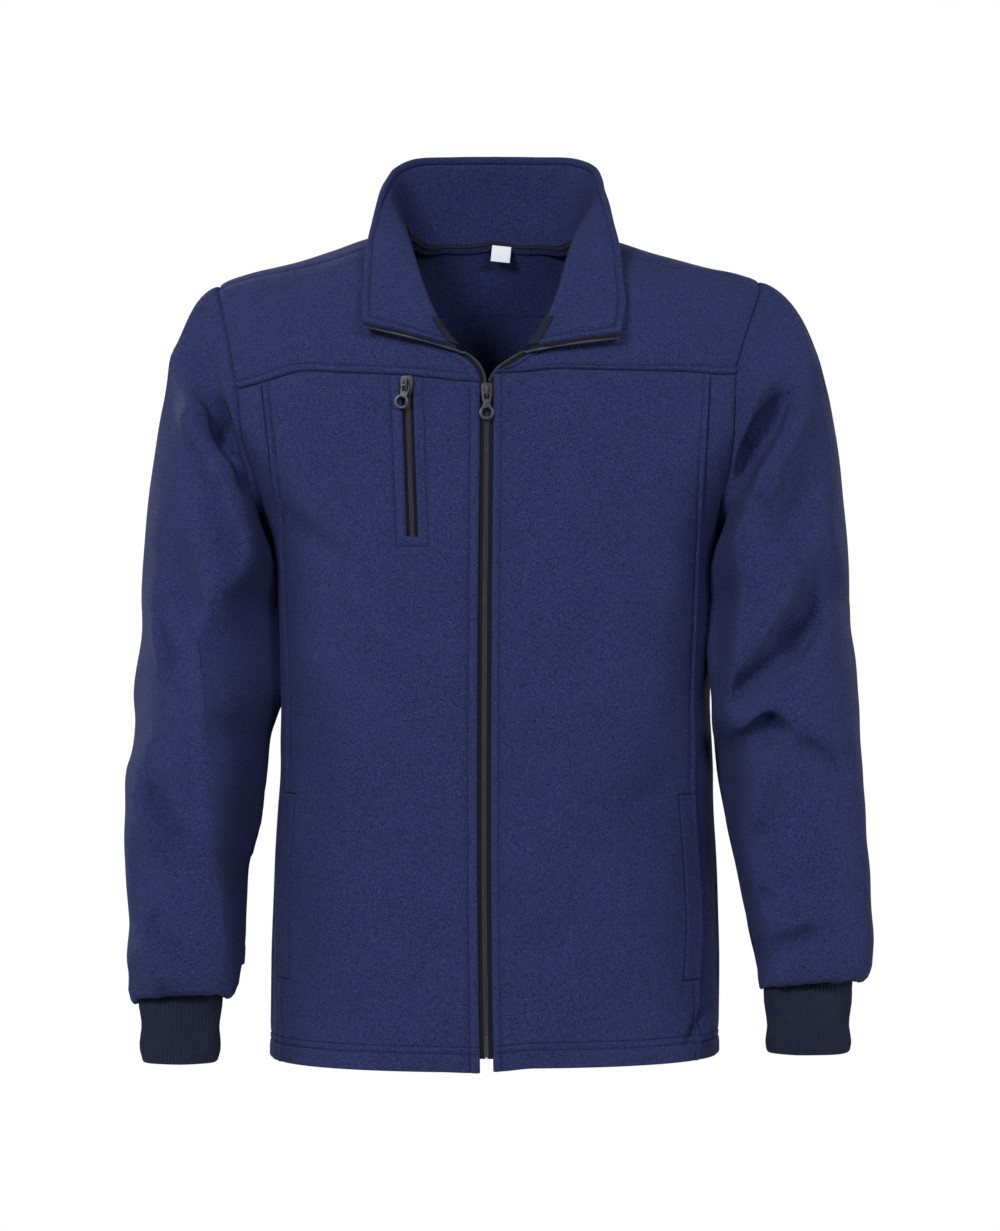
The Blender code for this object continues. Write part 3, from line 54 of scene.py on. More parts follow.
HEM_STITCHES = (14.8, 20.3)               # the hem's two rows of stitching, from its edge
ZIP_OPENING = 10.6        # between the two fronts
ZIP_END = -670.5          # lower end of the zip's tapes
TAPE_THICK = 1.0
TAPE_SINK = 0.8           # from the cloth's inside to a tape's face
TAPE_HIDDEN = 8.0         # width of tape under each front
COIL_HALF = 0.7           # from the zip's centre to a tape's edge
TAPE_LIP = 4.6            # tape that shows past an open edge
SHELL_POWER = 2.2         # roundness of the shoulder's section
CHEST = -160.0            # the shoulders' sections start at this height
STITCHED = 6.3            # from a seam to its topstitching
EDGE_STITCH = {"right": 7.7, "left": 6.3}  # from a front's edge to its topstitching
FINE = 0.85               # spacing of grid lines where the cloth is stitched
GRID = 4.2                # spacing of grid lines elsewhere
BACK_GRID = GRID * 1.15
YOKE_GRID = GRID * 0.9
BACK_YOKE_GRID = GRID * 0.8
SLEEVE_GRID = 3.4
BACK_INNER = 104.0        # part of the back yoke's lower edge that lies below the neck
HAND_POCKET = (-612.0, -460.0)    # lower and upper end of a hand pocket's opening
HAND_POCKET_WIDE = {"right": 9.5, "left": 14.0}   # to the stitching that holds it, from the front
SLOT_KNOTS = (0.0, 0.2, 0.33, 0.383, 0.55, 1.0)   # shares of a front's width, round the slot
SIDES = {"right": -1.0, "left": 1.0}

# Rough sizes of the panels laid flat, which set how many grid lines they get.
FRONT_WIDE = 165.0
SIDE_WIDE = 75.0
PANEL_TALL = 562.0
BACK_WIDE, BACK_TALL = 420.0, 600.0
YOKE_SIZE = (175.0, 100.0)
BACK_YOKE_SIZE = (160.0, 60.0)    # from the neck out, and up

# Widths of the zones with fine grid lines.
ZIP_ZONE = 11.0
HAND_POCKET_ZONE = 31.0
HEM_ZONE = 24.0
YOKE_ZONE = 9.0           # of a front, below the yoke seam
YOKE_EDGE_ZONE = 12.0
TOPSTITCH_ZONE = 9.5
SEAM_ZONE = 5.0
SIDE_ZONE = 4.0
YOKE_SEAM_ZONE = 3.0
ROW_ZONE = 3.0            # on each side of a row of stitching
SLOT_ZONE = 2.0

# Rough heights from which seams and corners are worked out.
YOKE_LEVEL = -120.0
BACK_YOKE_LEVEL = -60.0
SEAM_LEVEL = -118.0
YOKE_AT_POCKET = -118.5
ARMPIT_LEVELS = (-262.0, -200.0)
SHOULDER_LEVELS = (-60.0, -20.0)
CORNER_ROUNDS = 20
SEAM_ROUNDS = 8
HALVINGS = 40
STATION_SAMPLES = 6000
TINY = 1e-9
# Steps for finding which way a surface faces: degrees and millimetres.
BODY_STEPS = (0.05, 0.2)
SHOULDER_STEPS = (0.2, 0.1)
ARMHOLE_ROUND = 520.0
ARMHOLE_CROWD = 1.4       # how much its points crowd under the arm

# Grooves: depth and half width.
SEAM_GROOVE = (2.3, 0.95)
SEAM_DRAW = (0.9, 4.5)    # the cloth beside a plain seam is drawn in
STITCHED_GROOVE = (2.4, 0.95)
ROW_GROOVE = (1.3, 0.8)
ROW_DRAW = (0.6, 3.2)
SEAM_ROW_DRAW = (0.6, 3.4)
FREE_GROOVE = (1.2, 0.9)
FACING_GROOVE = (1.8, 0.8)        # the stitching round a hand pocket's facing
SLOT_GROOVE = (1.3, 1.0)
FOOT_GROOVE = (0.5, 2.0)
GAPE = (5.0, 4.0)         # how far the cloth behind a hand pocket's lip falls back
LIP, LIP_PLACE = (1.2, 3.0), 2.0  # swell of that lip, and how far it lies from the seam
# Cloth that lies double beside a row of stitching.
BAND_LIFT = 0.85
BAND_SOFT = 1.6
EDGE_LIFT = 0.5
SEAM_PUFF = 0.5
HEM_LIFT, HEM_SOFT = 0.5, 3.0
HEM_CORNER = 0.2          # share of a front's width over which its corner hangs lower
BACK_HEM = (0.4, 5.0)     # where the hem's two levels meet at the back, and how steeply
GAPE_INSET, GAPE_SOFT = 8.0, 22.0
POCKET_SWELL, SWELL_INSET = 0.6, 2.0
SEAM_FADE, BACK_FADE = 14.0, 40.0
NECK_STEPS = 8
NECK_COLUMNS = 60
YOKE_CORNER = 6.0
EDGE_KNOT = 0.6           # of a front yoke's free edge: share of the way up from the yoke seam
NECK_SEAM_SOFT = (4.0, 6.0)       # where its free edge turns into the neck seam
# Roughly the ways in which the yokes face.
YOKE_FACES = {"front": np.array((0.0, -1.0, 0.7)), "back": np.array((0.0, 0.5, 1.0))}

# How cloth is folded and creased.
FOLD_REACH = 0.9          # how far folds reach round to the other face
CREASE_LIMIT = 0.05       # creases begin where the cloth faces this much forwards
CREASE_SOFT = 0.35
CREASE_END_HEIGHT = 0.25  # share of its height that a crease keeps at its ends
CREASE_END = 0.25         # share of its length over which it falls to that
RIPPLE_WAVES = 9
RIPPLE_WAYS = (1.0, 0.6, 0.7)     # how much the waves' ways lean to each axis
RIPPLE_START = 7          # a wave starts anywhere up to this, in radians
# Unevenness of the cloth: seed, height, shortest and longest wave.
RIPPLES = {
    "front": (3, 0.35, 34.0, 95.0),
    "side": (4, 0.35, 34.0, 95.0),
    "back": (5, 0.7, 60.0, 190.0),
    "front_yoke": (6, 0.3, 34.0, 95.0),
    "back_yoke": (8, 0.3, 34.0, 95.0),
    "sleeve": (11, 0.5, 40.0, 120.0),
    "collar": (21, 0.45, 45.0, 130.0),
}
CLOTH_SHARP = 60          # degrees; edges of cloth sharper than this are drawn sharp

# Sleeves.
END_RISE = {"right": (8.0, -2.0), "left": (5.0, 3.0)}   # of a sleeve's end: in front, outside
END_FRONT = 1.2           # how far the front's rise reaches round
END_WAVE, END_WAVES = 0.7, 5      # height and number of the waves round a sleeve's end
END_REACH = 42.0          # the end's rise dies out over this length
END_ROWS = 16
END_TURN_IN = 12.0        # the way in over the cuff counts as this long in spacing the rows
CUFF_CLEAR = 0.5          # between the sleeve's end and the cuff
CAP_ROWS = 44
CAP_CROWD = 1.25          # how much a cap's rows crowd at the armhole
CAP_UP = 0.6              # the cap leaves the armhole outwards and this much upwards
# Shares of the ways off the armhole's line and off the body, under the arm and on the shoulder.
CAP_AWAY = (0.15, 1.0)
CAP_OUT = (1.0, 0.12)
TURN_SHARE = {"right": 1.0, "left": 0.7}  # how much of a sleeve's turn its back follows
TURN_OUT = 0.05           # how far what turns also moves out, as a share
LEAST_TURN_WIDE = 8.0     # of the part that turns
LEAST_AHEAD = 0.1         # in front of the sleeve's middle
BEHIND_DROP = 38.0        # creases behind lie this far below those in front
BEHIND_RISE = 0.6         # their height, as a share
CREASE_GROWTH = 16.0      # creases grow over this length from the armhole
ARM_PRESS = (4.0, 26.0)   # of a sleeve towards the body under the arm: depth and half height
ARM_PRESS_LEVEL = -272.0
PRESS_FROM = 0.6          # cosine of the angle from which the inner side is pressed
ARMHOLE_BLEND = 9.0       # over this length a sleeve leaves the body's own surface
SLEEVE_FADES = (32.0, 8.0, 34.0)  # folds fade in below the armhole, and stop above the end, softly
GATHER_ZONE = (46.0, 30.0, 10.0)  # gathers at the cuff: where they end, how softly, and their foot
GATHER_RISE = 0.45
GATHERS = ((17, 1.0, 1.0), (11, 2.0, 0.8))    # waves round the sleeve: number, start, share

# Zips and stitches.
COIL_PITCH = 1.35
COIL_SIDE = 0.75          # from the zip's middle to a loop's middle
COIL_LIFT = 0.4           # of the loops on an open edge
BEAD = (1.25, 0.6, 0.75)  # half sizes of a loop: across, along and out
BEAD_SIDES = 8
# Rings of a loop: place along it, size.
BEAD_RINGS = ((-1.0, 0.75), (-0.6, 1.0), (0.1, 1.0), (0.75, 0.75), (1.0, 0.3))
TAPE_ROWS = (-150.0, 80)  # where the even rows of a tape's straight part end, and their number
TAPE_UPPER_ROWS = (-145.0, -139.0, -133.0, -128.0)
TAPE_OPEN_ROWS = (0.2, 0.35, 0.5, 0.65, 0.8)      # shares of the way from the yoke seam to the neck's
TAPE_COLUMNS = 190
TAPE_STEP = 2.0           # height over which the tape's way along the neck is found
TAPE_OPEN_HIDDEN = 0.8    # share of the hidden width beside the open edge
TAPE_ACROSS = 6           # columns across a tape
POCKET_TAPE_ROWS = 40
POCKET_TAPE_SHORT = 0.5
COIL_START = 1.5          # from the lower end of the front zip's tapes
POCKET_COIL_OVER = 3.0    # below the slot
COIL_OUT = {"front": 0.1, "pocket": 0.7}      # how far a closed coil stands out of its tape's face
COIL_JOIN = 0.01          # share of the collar's run that is left out where the front's coil ends
STITCH = 2.5
STITCH_GAP = 0.7
THREAD = 0.24
THREAD_FLAT = 1.1         # a thread's width over its height
FIRST_STITCH = 0.6        # from the start of a row
POCKET_ROW_GAP = 12.0     # the princess seam's topstitching stops this far from a hand pocket
STITCH_SIDES = 5
# Rings of a stitch: share of its length, thickness, height.
STITCH_RINGS = ((0.0, 0.4, -0.35), (0.25, 1.0, 0.05), (0.75, 1.0, 0.05), (1.0, 0.4, -0.35))

# Sliders, pulls and the label.
ZIP_SLIDER_HEIGHT = -133.5
POCKET_SLIDER_HEIGHT = -127.5
SLIDER_REACH = {"above": 7.5, "below": 7.0, "pocket": 6.0}    # from a slider's middle to the loops
WELD = 1e-5               # metres
ROUND_OVER, SHARP_OVER = 32, 40   # degrees; sharper edges of metal are rounded, drawn sharp

# Materials. Scales count how often a pattern repeats in a metre.
FIBRES, MOTTLE, BROAD = 1150.0, 300.0, 26.0
MOTTLE_SHARE, BROAD_SHARE, PILE_SHIFT = 0.12, 0.06, -0.09
PILE_RANGE = (0.36, 0.76) # of the pattern, from the deep colour to the bright one
MOTTLE_HEIGHT = 0.25
PILE_ROUGH = 0.55
WEAVE_UP, WEAVE_ACROSS, WEAVE_WANDER = 420.0, 380.0, 0.6
WEAR, WEAR_SHADES = 260.0, (0.8, 1.25)
WEAR_BUMP = {"Strength": 0.2, "Distance": 0.00008}
NAVY_SHEEN = (0.30, 0.35, 0.75)
PALE_SHEEN = (0.5, 0.5, 1.0)
WHITE = (1.0, 1.0, 1.0)
FIRST_COLOR, SECOND_COLOR, MIXED_COLOR = 6, 7, 2  # sockets of a Mix node that mixes colours

# Studio, in metres and watts.
FLOOR_SHADE = (0.9, 0.9, 0.9, 1.0)
FLOOR_RADIUS, FLOOR_SIDES, FLOOR_LEVEL = 1.5, 64, -1.75
LIT_POINT = (0.0, 0.0, -0.3)
SURROUND_LIGHT = 0.10
LENS, SENSOR = 104.44, 36.0
CAMERA_PLACE = (0.005, -3.0, -0.313)


# Horizontal sections of the body.
BODY_COLUMNS = ("height", "right", "left", "front", "back", "squareness")
BODY = (
    (-684, 187.5, 188.3, 125.0, 121.0, 2.35),
    (-600, 186.8, 189.0, 124.0, 117.0, 2.35),
    (-520, 183.8, 186.6, 122.0, 111.0, 2.35),
    (-440, 178.2, 182.0, 121.0, 105.0, 2.35),
    (-360, 179.3, 181.3, 124.0, 105.0, 2.35),
    (-290, 182.0, 183.0, 128.0, 111.0, 2.40),
    (-250, 187.0, 187.0, 129.0, 116.0, 2.40),
    (-200, 213.0, 213.0, 127.5, 120.0, 2.30),
    (-160, 240.0, 240.0, 124.0, 121.0, 2.20),
)

# Crest of the shoulders, from the neck outwards.
CREST_COLUMNS = ("across", "right", "left", "depth")
CREST = (
    (0, 34.0, 34.0, 12.0),
    (50, 20.0, 19.0, 12.0),
    (80, 9.7, 7.8, 11.0),
    (110, 2.4, -1.0, 10.0),
    (135, -6.6, -8.8, 9.0),
    (155, -13.2, -14.4, 8.0),
    (180, -19.9, -21.0, 7.0),
    (206, -26.3, -26.5, 6.0),
    (223, -31.5, -32.0, 5.0),
    (240, -39.5, -42.0, 4.0),
)

# The shoulder seam lies in front of the crest, lower by this drop.
SEAM_DROP_COLUMNS = ("across", "drop")
SEAM_DROP = ((70, 10.5), (110, 12.0), (135, 11.0), (160, 9.0), (185, 6.5), (225, 4.5), (240, 4.5))

# Seams seen from the front: how far they lie from the middle, on each side.
ARMHOLE_COLUMNS = ("height", "right", "left")
ARMHOLE = (
    (-262, 183.0, 183.0),
    (-235, 189.5, 186.0),
    (-215, 194.0, 189.0),
    (-195, 199.0, 194.5),
    (-175, 206.0, 197.0),
    (-155, 210.0, 198.5),
    (-130, 212.0, 199.0),
    (-110, 216.0, 200.5),
    (-86, 221.0, 207.0),
    (-41, 232.0, 223.0),
    (-20, 236.0, 228.0),
)
PRINCESS_COLUMNS = ("height", "right", "left")
PRINCESS = (
    (-684, 178.0, 168.5),
    (-614, 178.5, 170.0),
    (-560, 178.5, 172.0),
    (-520, 177.5, 169.5),
    (-466, 172.5, 165.0),
    (-405, 172.0, 165.0),
    (-350, 173.0, 166.5),
    (-281, 175.5, 169.0),
    (-218, 180.5, 171.7),
    (-161, 186.0, 174.5),
    (-110, 192.0, 177.5),
)
YOKE_COLUMNS = ("across", "right", "left")
YOKE_SEAM = (
    (0, -124.5, -117.5),
    (20, -124.0, -116.5),
    (53, -120.5, -113.3),
    (80, -118.0, -113.8),
    (120, -116.0, -114.0),
    (160, -114.2, -114.2),
    (190, -122.0, -115.5),
    (212, -126.5, -112.5),
    (240, -128.0, -111.0),
)
ZIP_LINE_COLUMNS = ("height", "across")
ZIP_LINE = ((-690, -5.6), (-665, -6.0), (-540, -7.6), (-320, -7.2), (-115, -5.6), (-90, -5.6))

# Edge of the front yoke from the zip up to the shoulder seam.
NECK_FRONT_COLUMNS = ("height", "right", "left")
NECK_FRONT = (
    (-124, 11.4, -0.3),
    (-117, 13.0, 4.5),
    (-110, 17.6, 14.5),
    (-104, 25.0, 24.0),
    (-99, 34.0, 33.0),
    (-90, 42.5, 39.5),
    (-78, 47.8, 45.4),
    (-64, 54.8, 52.0),
    (-45, 62.0, 58.7),
    (-24, 68.8, 64.0),
    (0, 75.5, 71.5),
)
NECK_SEAM_END = -99.0     # above this the front yoke's edge is sewn to the collar
# The neck seam round the back, from its middle to a shoulder seam: x and the turn over the crest.
NECK_BACK = ((0, 34.0), (18, 33.3), (36, 31.0), (54, 26.0), (67, 18.0), (76, 4.0))
BACK_YOKE_COLUMNS = ("across", "height")
BACK_YOKE_SEAM = ((0, -52.0), (100, -54.0), (180, -60.0), (240, -68.0))
SIDE_SEAM_COLUMNS = ("height", "angle")
SIDE_SEAM = ((-684, 80.0), (-500, 81.0), (-400, 86.0), (-300, 90.0), (-200, 90.0))

# Horizontal sections of the sleeves below the arm; shear turns the front inwards.
SLEEVE_COLUMNS = ("height", "outer", "inner", "middle", "half_depth", "shear")
SLEEVES = {
    "right": (
        (-300, 289.5, 183.3, -20.0, 78.0, 0.30),
        (-340, 291.5, 181.5, -30.0, 76.0, 0.32),
        (-380, 294.5, 180.0, -40.0, 73.0, 0.33),
        (-410, 297.0, 187.5, -46.0, 71.0, 0.16),
        (-440, 300.0, 189.5, -50.0, 69.0, 0.08),
        (-480, 303.5, 192.0, -55.0, 66.0, 0.04),
        (-520, 304.0, 200.5, -60.0, 62.0, 0.00),
        (-550, 300.5, 203.5, -64.0, 59.0, 0.00),
        (-590, 297.0, 206.0, -68.0, 55.0, 0.00),
        (-618, 299.0, 209.0, -70.0, 50.0, 0.00),
    ),
    "left": (
        (-300, 293.0, 183.6, -20.0, 78.0, 0.30),
        (-340, 296.5, 182.3, -30.0, 76.0, 0.30),
        (-380, 300.0, 184.0, -40.0, 73.0, 0.26),
        (-410, 302.5, 183.5, -46.0, 71.0, 0.20),
        (-440, 304.5, 184.7, -50.0, 69.0, 0.12),
        (-480, 306.5, 191.0, -55.0, 66.0, 0.04),
        (-520, 308.5, 199.0, -60.0, 62.0, 0.00),
        (-550, 309.5, 205.0, -64.0, 59.0, 0.00),
        (-580, 311.0, 211.0, -68.0, 55.0, 0.00),
        (-602, 309.5, 215.5, -70.0, 50.0, 0.00),
    ),
}
SLEEVE_SQUARE = 2.4
# The sleeve's end turns in over the cuff: height over its lowest point, share of the way.
SLEEVE_END = ((14.0, 0.0), (10.0, 0.08), (4.5, 0.24), (1.2, 0.47), (0.0, 0.75), (3.0, 1.0))
# Pull of the armhole's direction and of the sleeve's fall, as shares of the run.
CAP_PULLS = {"right": (0.52, 1.35), "left": (0.66, 1.5)}

# Cuffs: middle x, half width, lowest and highest point, and how low the sleeve reaches over them.
CUFFS = {
    "right": {"across": 257.0, "half": 31.5, "low": -678.5, "high": -617.0, "bottom": -630.0},
    "left": {"across": 257.5, "half": 33.5, "low": -671.0, "high": -603.0, "bottom": -617.0},
}
CUFF_MIDDLE = -70.0
CUFF_HALF_DEPTH = 27.0
CUFF_WALL = 2.4
CUFF_RIBS = 66
RIB_POINTS = 6            # round each rib
RIB_HEIGHT = 0.55
RIB_SHAPE = (1.5, 0.7)    # how much higher and fuller a rib is than a plain wave
RIB_START = (3.0, 0.25)   # ribs rise over this height, from this share of their own
INNER_ROUND = 0.9         # how much of the edge's rounding the inside has
CUFF_ROUND = 1.4          # of the cuff's folded lower edge
CUFF_ROWS = 9             # in the folded edge, and again above it
CUFF_FOLD, CUFF_PLAIN = 10.0, 15.0    # where the folded edge's rows end and the even rows start
CUFF_TUCK = 1.0           # how much narrower the cuff is at its lower edge
CUFF_FLARE = (2.0, 20.0, 35.0)    # how much wider it gets, from which height and over how much
CUFF_SAG = 0.5
CUFF_EDGE_WAVE = (3, 0.7, 40.0, 30.0)     # number, start, where it ends and how softly
CUFF_TWISTS = ((2, 0.13), (6, -0.21))     # waves round the cuff: number, slant

# Upper edge of the open collar, from the middle of the back to its front tip.
COLLAR_COLUMNS = ("share", "across", "depth", "height")
COLLARS = {
    "right": (
        (0.00, 0.0, 52.0, 79.0),
        (0.12, 36.0, 50.5, 78.5),
        (0.22, 67.5, 43.0, 76.0),
        (0.30, 82.5, 28.0, 67.5),
        (0.38, 88.5, 8.0, 57.0),
        (0.45, 93.0, -9.0, 47.5),
        (0.56, 97.5, -35.0, 30.0),
        (0.65, 101.0, -51.0, 10.5),
        (0.73, 104.0, -64.0, -6.5),
        (0.82, 105.5, -81.0, -31.0),
        (0.91, 107.0, -97.0, -54.0),
        (1.00, 105.5, -114.0, -76.0),
    ),
    "left": (
        (0.00, 0.0, 52.0, 79.0),
        (0.12, 36.0, 50.5, 78.5),
        (0.22, 67.5, 43.0, 76.5),
        (0.30, 83.5, 28.0, 69.0),
        (0.38, 89.0, 8.0, 57.5),
        (0.45, 91.0, -9.0, 47.0),
        (0.56, 96.0, -35.0, 29.0),
        (0.65, 99.5, -53.0, 9.0),
        (0.73, 103.0, -66.0, -8.6),
        (0.82, 105.0, -82.0, -34.0),
        (0.91, 107.0, -98.0, -59.0),
        (1.00, 103.0, -115.0, -85.0),
    ),
}
COLLAR_SETBACK = 3.3      # the collar's middle stands this far inside the neck's edge
COLLAR_TAIL = 4.2         # seam allowance that hangs inside the neck
COLLAR_FOOT = 0.8         # the visible collar starts this far above the cloth
COLLAR_ROLL = (5.0, 11.0) # how far it stands off the cloth before it falls open: behind, in front
COLLAR_GRID = 3.4
COLLAR_TALL = 88.0
COLLAR_ZONE = 10.0        # width of the fine zones at its front ends
COLLAR_ROW_ZONES = ((0, 7), (78, 88))
COLLAR_SAMPLES = 90
COLLAR_ROUND = 2.2        # of its edges
COLLAR_STITCH = 6.5
COLLAR_LIFT, COLLAR_PUFF = 0.35, 0.25
COLLAR_CORE = 0.08        # added between the two layers
LAYER_GAP = 0.05          # from the middle surface to a layer's inside
LEAST_ROUND = 0.05
COLLAR_MIDDLE = np.array((0.0, 0.0, 40.0))
TAIL_ROWS = (0.0, 0.5)    # of the seam allowance: shares of the way up to the foot
COLLAR_CALM = (10.0, 20.0)        # no unevenness within these of an edge and of the allowance's end
NECK_SIDE_DROP = 6.0      # of the collar's foot beside the neck
NECK_DROP_FROM = ((40.0, 25.0), (-30.0, 35.0))    # where the foot drops: |x| and y, and how softly
NECK_TAPE_FRONT = -22.0   # y of the neck tape's two ends
NECK_TAPE_END = 30.0      # length of the pieces of tape beside the zip
TAPE_TALL = {"behind": 0.15, "end": 0.28}     # shares of the way up the collar
WRINKLE, WRINKLE_STEP = 0.25, 0.9     # height of its wrinkles, and their step in radians a column
NECK_TAPE_ROWS = 5

# Folds of each face: x and z of a line's two ends, seen from the front, its half width and its rise.
SLEEVE_FOLDS = {
    "right": {
        "front": (
            (-262, -100, -247, -150, 13, 4.0),
            (-247, -150, -222, -196, 13, 6.5),
            (-222, -196, -208, -225, 12, 5.0),
            (-236, -105, -219, -160, 14, -7.0),
            (-219, -160, -206, -196, 12, -9.0),
            (-262, -258, -238, -332, 17, -5.5),
            (-285, -300, -265, -352, 12, 4.0),
            (-238, -345, -216, -405, 20, -6.0),
            (-216, -405, -212, -520, 18, -5.0),
            (-299, -440, -271, -498, 13, 4.5),
            (-300, -583, -268, -610, 14, 5.0),
            (-290, -520, -262, -556, 16, -3.5),
            (-190, -405, -202, -448, 14, 4.0),
        ),
        "back": (
            (-268, -118, -238, -196, 18, -5.0),
            (-238, -196, -214, -262, 16, 5.0),
            (-292, -330, -232, -372, 18, -6.0),
            (-230, -400, -280, -452, 16, 5.0),
            (-290, -505, -232, -540, 18, -4.5),
            (-236, -580, -286, -602, 14, 4.0),
        ),
    },
    "left": {
        "front": (
            (257, -104, 247, -147, 13, 3.5),
            (247, -147, 222, -208, 13, 6.0),
            (222, -208, 196, -272, 13, 4.5),
            (238, -140, 203, -186, 14, -9.0),
            (204, -200, 214, -232, 11, -5.0),
            (262, -208, 240, -262, 20, -3.5),
            (280, -292, 246, -330, 13, -6.0),
            (246, -330, 204, -380, 13, -6.5),
            (230, -350, 194, -396, 10, 4.0),
            (224, -408, 284, -434, 12, -5.0),
            (224, -402, 190, -426, 12, -5.0),
            (228, -422, 216, -476, 14, 5.5),
            (280, -540, 246, -524, 16, -3.0),
            (222, -584, 282, -572, 14, -3.5),
        ),
        "back": (
            (264, -112, 240, -190, 18, -5.0),
            (240, -190, 214, -256, 16, 5.0),
            (290, -322, 226, -366, 18, -6.0),
            (222, -392, 284, -440, 16, 5.0),
            (290, -500, 226, -536, 18, -4.5),
            (230, -572, 288, -590, 14, 3.5),
        ),
    },
}
BODY_FOLDS = {
    "front": (
        (-172, -230, -118, -272, 17, -2.2),
        (-118, -272, -70, -330, 20, 1.6),
        (14, -548, 48, -585, 18, -2.0),
        (112, -462, 142, -438, 16, -1.8),
        (170, -420, 132, -560, 22, 2.0),
        (-170, -470, -120, -600, 24, 1.8),
    ),
    "back": (
        (-150, -200, -70, -330, 22, -3.0),
        (150, -200, 76, -320, 22, -3.0),
        (-170, -420, -60, -380, 24, 3.0),
        (168, -440, 70, -396, 24, 3.0),
        (-20, -300, 14, -600, 26, 2.0),
    ),
}

# Creases in groups: half width, rise and a line (x, z) seen from the front. Hollows have a negative
# rise. The group "back" lies on the back of the body, and the others lie in front. Those of a sleeve
# are used again behind, lower down and weaker.
CREASES = {
    "body": (
        (4.5, 3.5, ((163, -674), (170, -660), (183, -643))),
        (4, -3.5, ((158, -666), (164, -653), (174, -635))),
        (9, -3, ((-172, -233), (-149, -248), (-126, -272))),
        (10, 2.4, ((-159, -222), (-133, -241), (-113, -264))),
        (8, -2.6, ((9, -594), (28, -578), (51, -556))),
        (8, -2.6, ((112, -469), (128, -459), (145, -447))),
        (12, 2, ((-134, -333), (-118, -399), (-122, -464))),
        (12, -2, ((95, -267), (120, -333), (128, -382))),
    ),
    "back": (
        (12, -5.5, ((-152, -200), (-130, -268), (-119, -334))),
        (13, 4.5, ((-131, -212), (-108, -288), (-100, -362))),
        (12, -6, ((147, -196), (131, -258), (110, -322))),
        (13, 4.5, ((128, -216), (111, -284), (92, -345))),
        (18, -4, ((-58, -412), (-32, -497), (-44, -594))),
        (19, -4, ((74, -396), (50, -486), (63, -604))),
        (11, -4.5, ((-164, -472), (-140, -452), (-108, -447))),
        (11, -4.5, ((162, -505), (136, -486), (104, -484))),
        (14, -3.5, ((-92, -172), (-20, -186), (58, -176))),
    ),
    "sleeve_right": (
        (8, 9.1, ((-259, -116), (-244, -159), (-223, -192), (-210, -231), (-195, -267))),
        (10, -23.8, ((-241, -126), (-223, -161), (-203, -190), (-194, -222))),
        (12, -11.2, ((-244, -161), (-225, -206), (-212, -251), (-203, -292))),
        (9, -12.6, ((-267, -255), (-258, -292), (-244, -321))),
        (6, 9.1, ((-282, -308), (-276, -333), (-267, -359))),
        (9, -8.4, ((-274, -292), (-264, -333), (-254, -363))),
        (8, 6.1, ((-244, -325), (-236, -374), (-230, -448), (-229, -530))),
        (6, 8.5, ((-290, -440), (-282, -477), (-270, -505))),
        (9, -9.1, ((-276, -440), (-264, -479), (-249, -505))),
        (6, 7.8, ((-290, -571), (-278, -589), (-262, -612))),
        (8, -8.4, ((-282, -551), (-266, -571), (-244, -592))),
    ),
    "sleeve_left": (
        (10, -26.6, ((244, -124), (229, -157), (208, -181), (192, -208))),
        (8, 5.2, ((223, -120), (208, -151), (199, -177))),
        (7, -16.8, ((205, -225), (192, -233), (187, -249))),
        (9, 10.4, ((256, -128), (243, -161), (222, -194), (208, -222), (195, -258))),
        (11, -11.2, ((266, -181), (256, -214), (241, -247), (225, -269))),
        (9, -14, ((200, -267), (187, -300), (181, -341))),
        (9, 6.5, ((254, -247), (243, -288), (220, -321), (200, -351))),
        (10, -26.6, ((267, -280), (256, -317), (230, -347), (206, -370), (189, -403))),
        (8, -18.2, ((240, -417), (225, -404), (206, -414), (187, -422))),
        (7, 11.7, ((223, -423), (217, -456), (210, -485))),
        (9, -9.8, ((243, -419), (263, -427), (282, -445))),
        (8, -9.8, ((225, -534), (212, -551))),
        (8, -9.8, ((222, -586), (243, -578), (263, -567))),
    ),
}

# Below the arm the front of a sleeve turns inwards at a line: its |x| and the depth behind it.
SLEEVE_TURN_COLUMNS = ("height", "line", "depth")
SLEEVE_TURN = {
    "right": (
        (-202, 198, 0), (-235, 200, 10), (-276, 210, 22), (-300, 236, 34), (-325, 248, 38),
        (-366, 238, 43), (-405, 226, 46), (-477, 223, 38), (-551, 221, 26), (-598, 218, 14),
        (-628, 217, 0),
    ),
    "left": (
        (-210, 200, 0), (-235, 200, 8), (-267, 204, 18), (-300, 203, 24), (-325, 200, 22),
        (-366, 196, 12), (-395, 198, 14), (-420, 208, 36), (-450, 212, 46), (-477, 211, 42),
        (-505, 208, 32), (-546, 216, 28), (-587, 226, 14), (-616, 226, 0),
    ),
}

POCKET_TOP = -121.5
POCKET_BOTTOM = -249.0
POCKET_ACROSS = (-70.3, -65.7)    # middle of the slot at its top and bottom
POCKET_HALF = 4.6
POCKET_TAPE_HALF = 11.0
POCKET_TAPE_OVER = 8.0
POCKET_BOX = 8.6                  # from the slot's edges to its topstitched box


# ------------------------------------------------------------ tables, curves
def mix(a, b, t):
    return a + (b - a) * t


def hermite(t, a, slope_a, b, slope_b, step=1.0):
    """A cubic curve from a to b with these slopes at its ends, over a step."""
    return ((2 * t**3 - 3 * t**2 + 1) * a + (t**3 - 2 * t**2 + t) * step * slope_a
            + (3 * t**2 - 2 * t**3) * b + (t**3 - t**2) * step * slope_b)


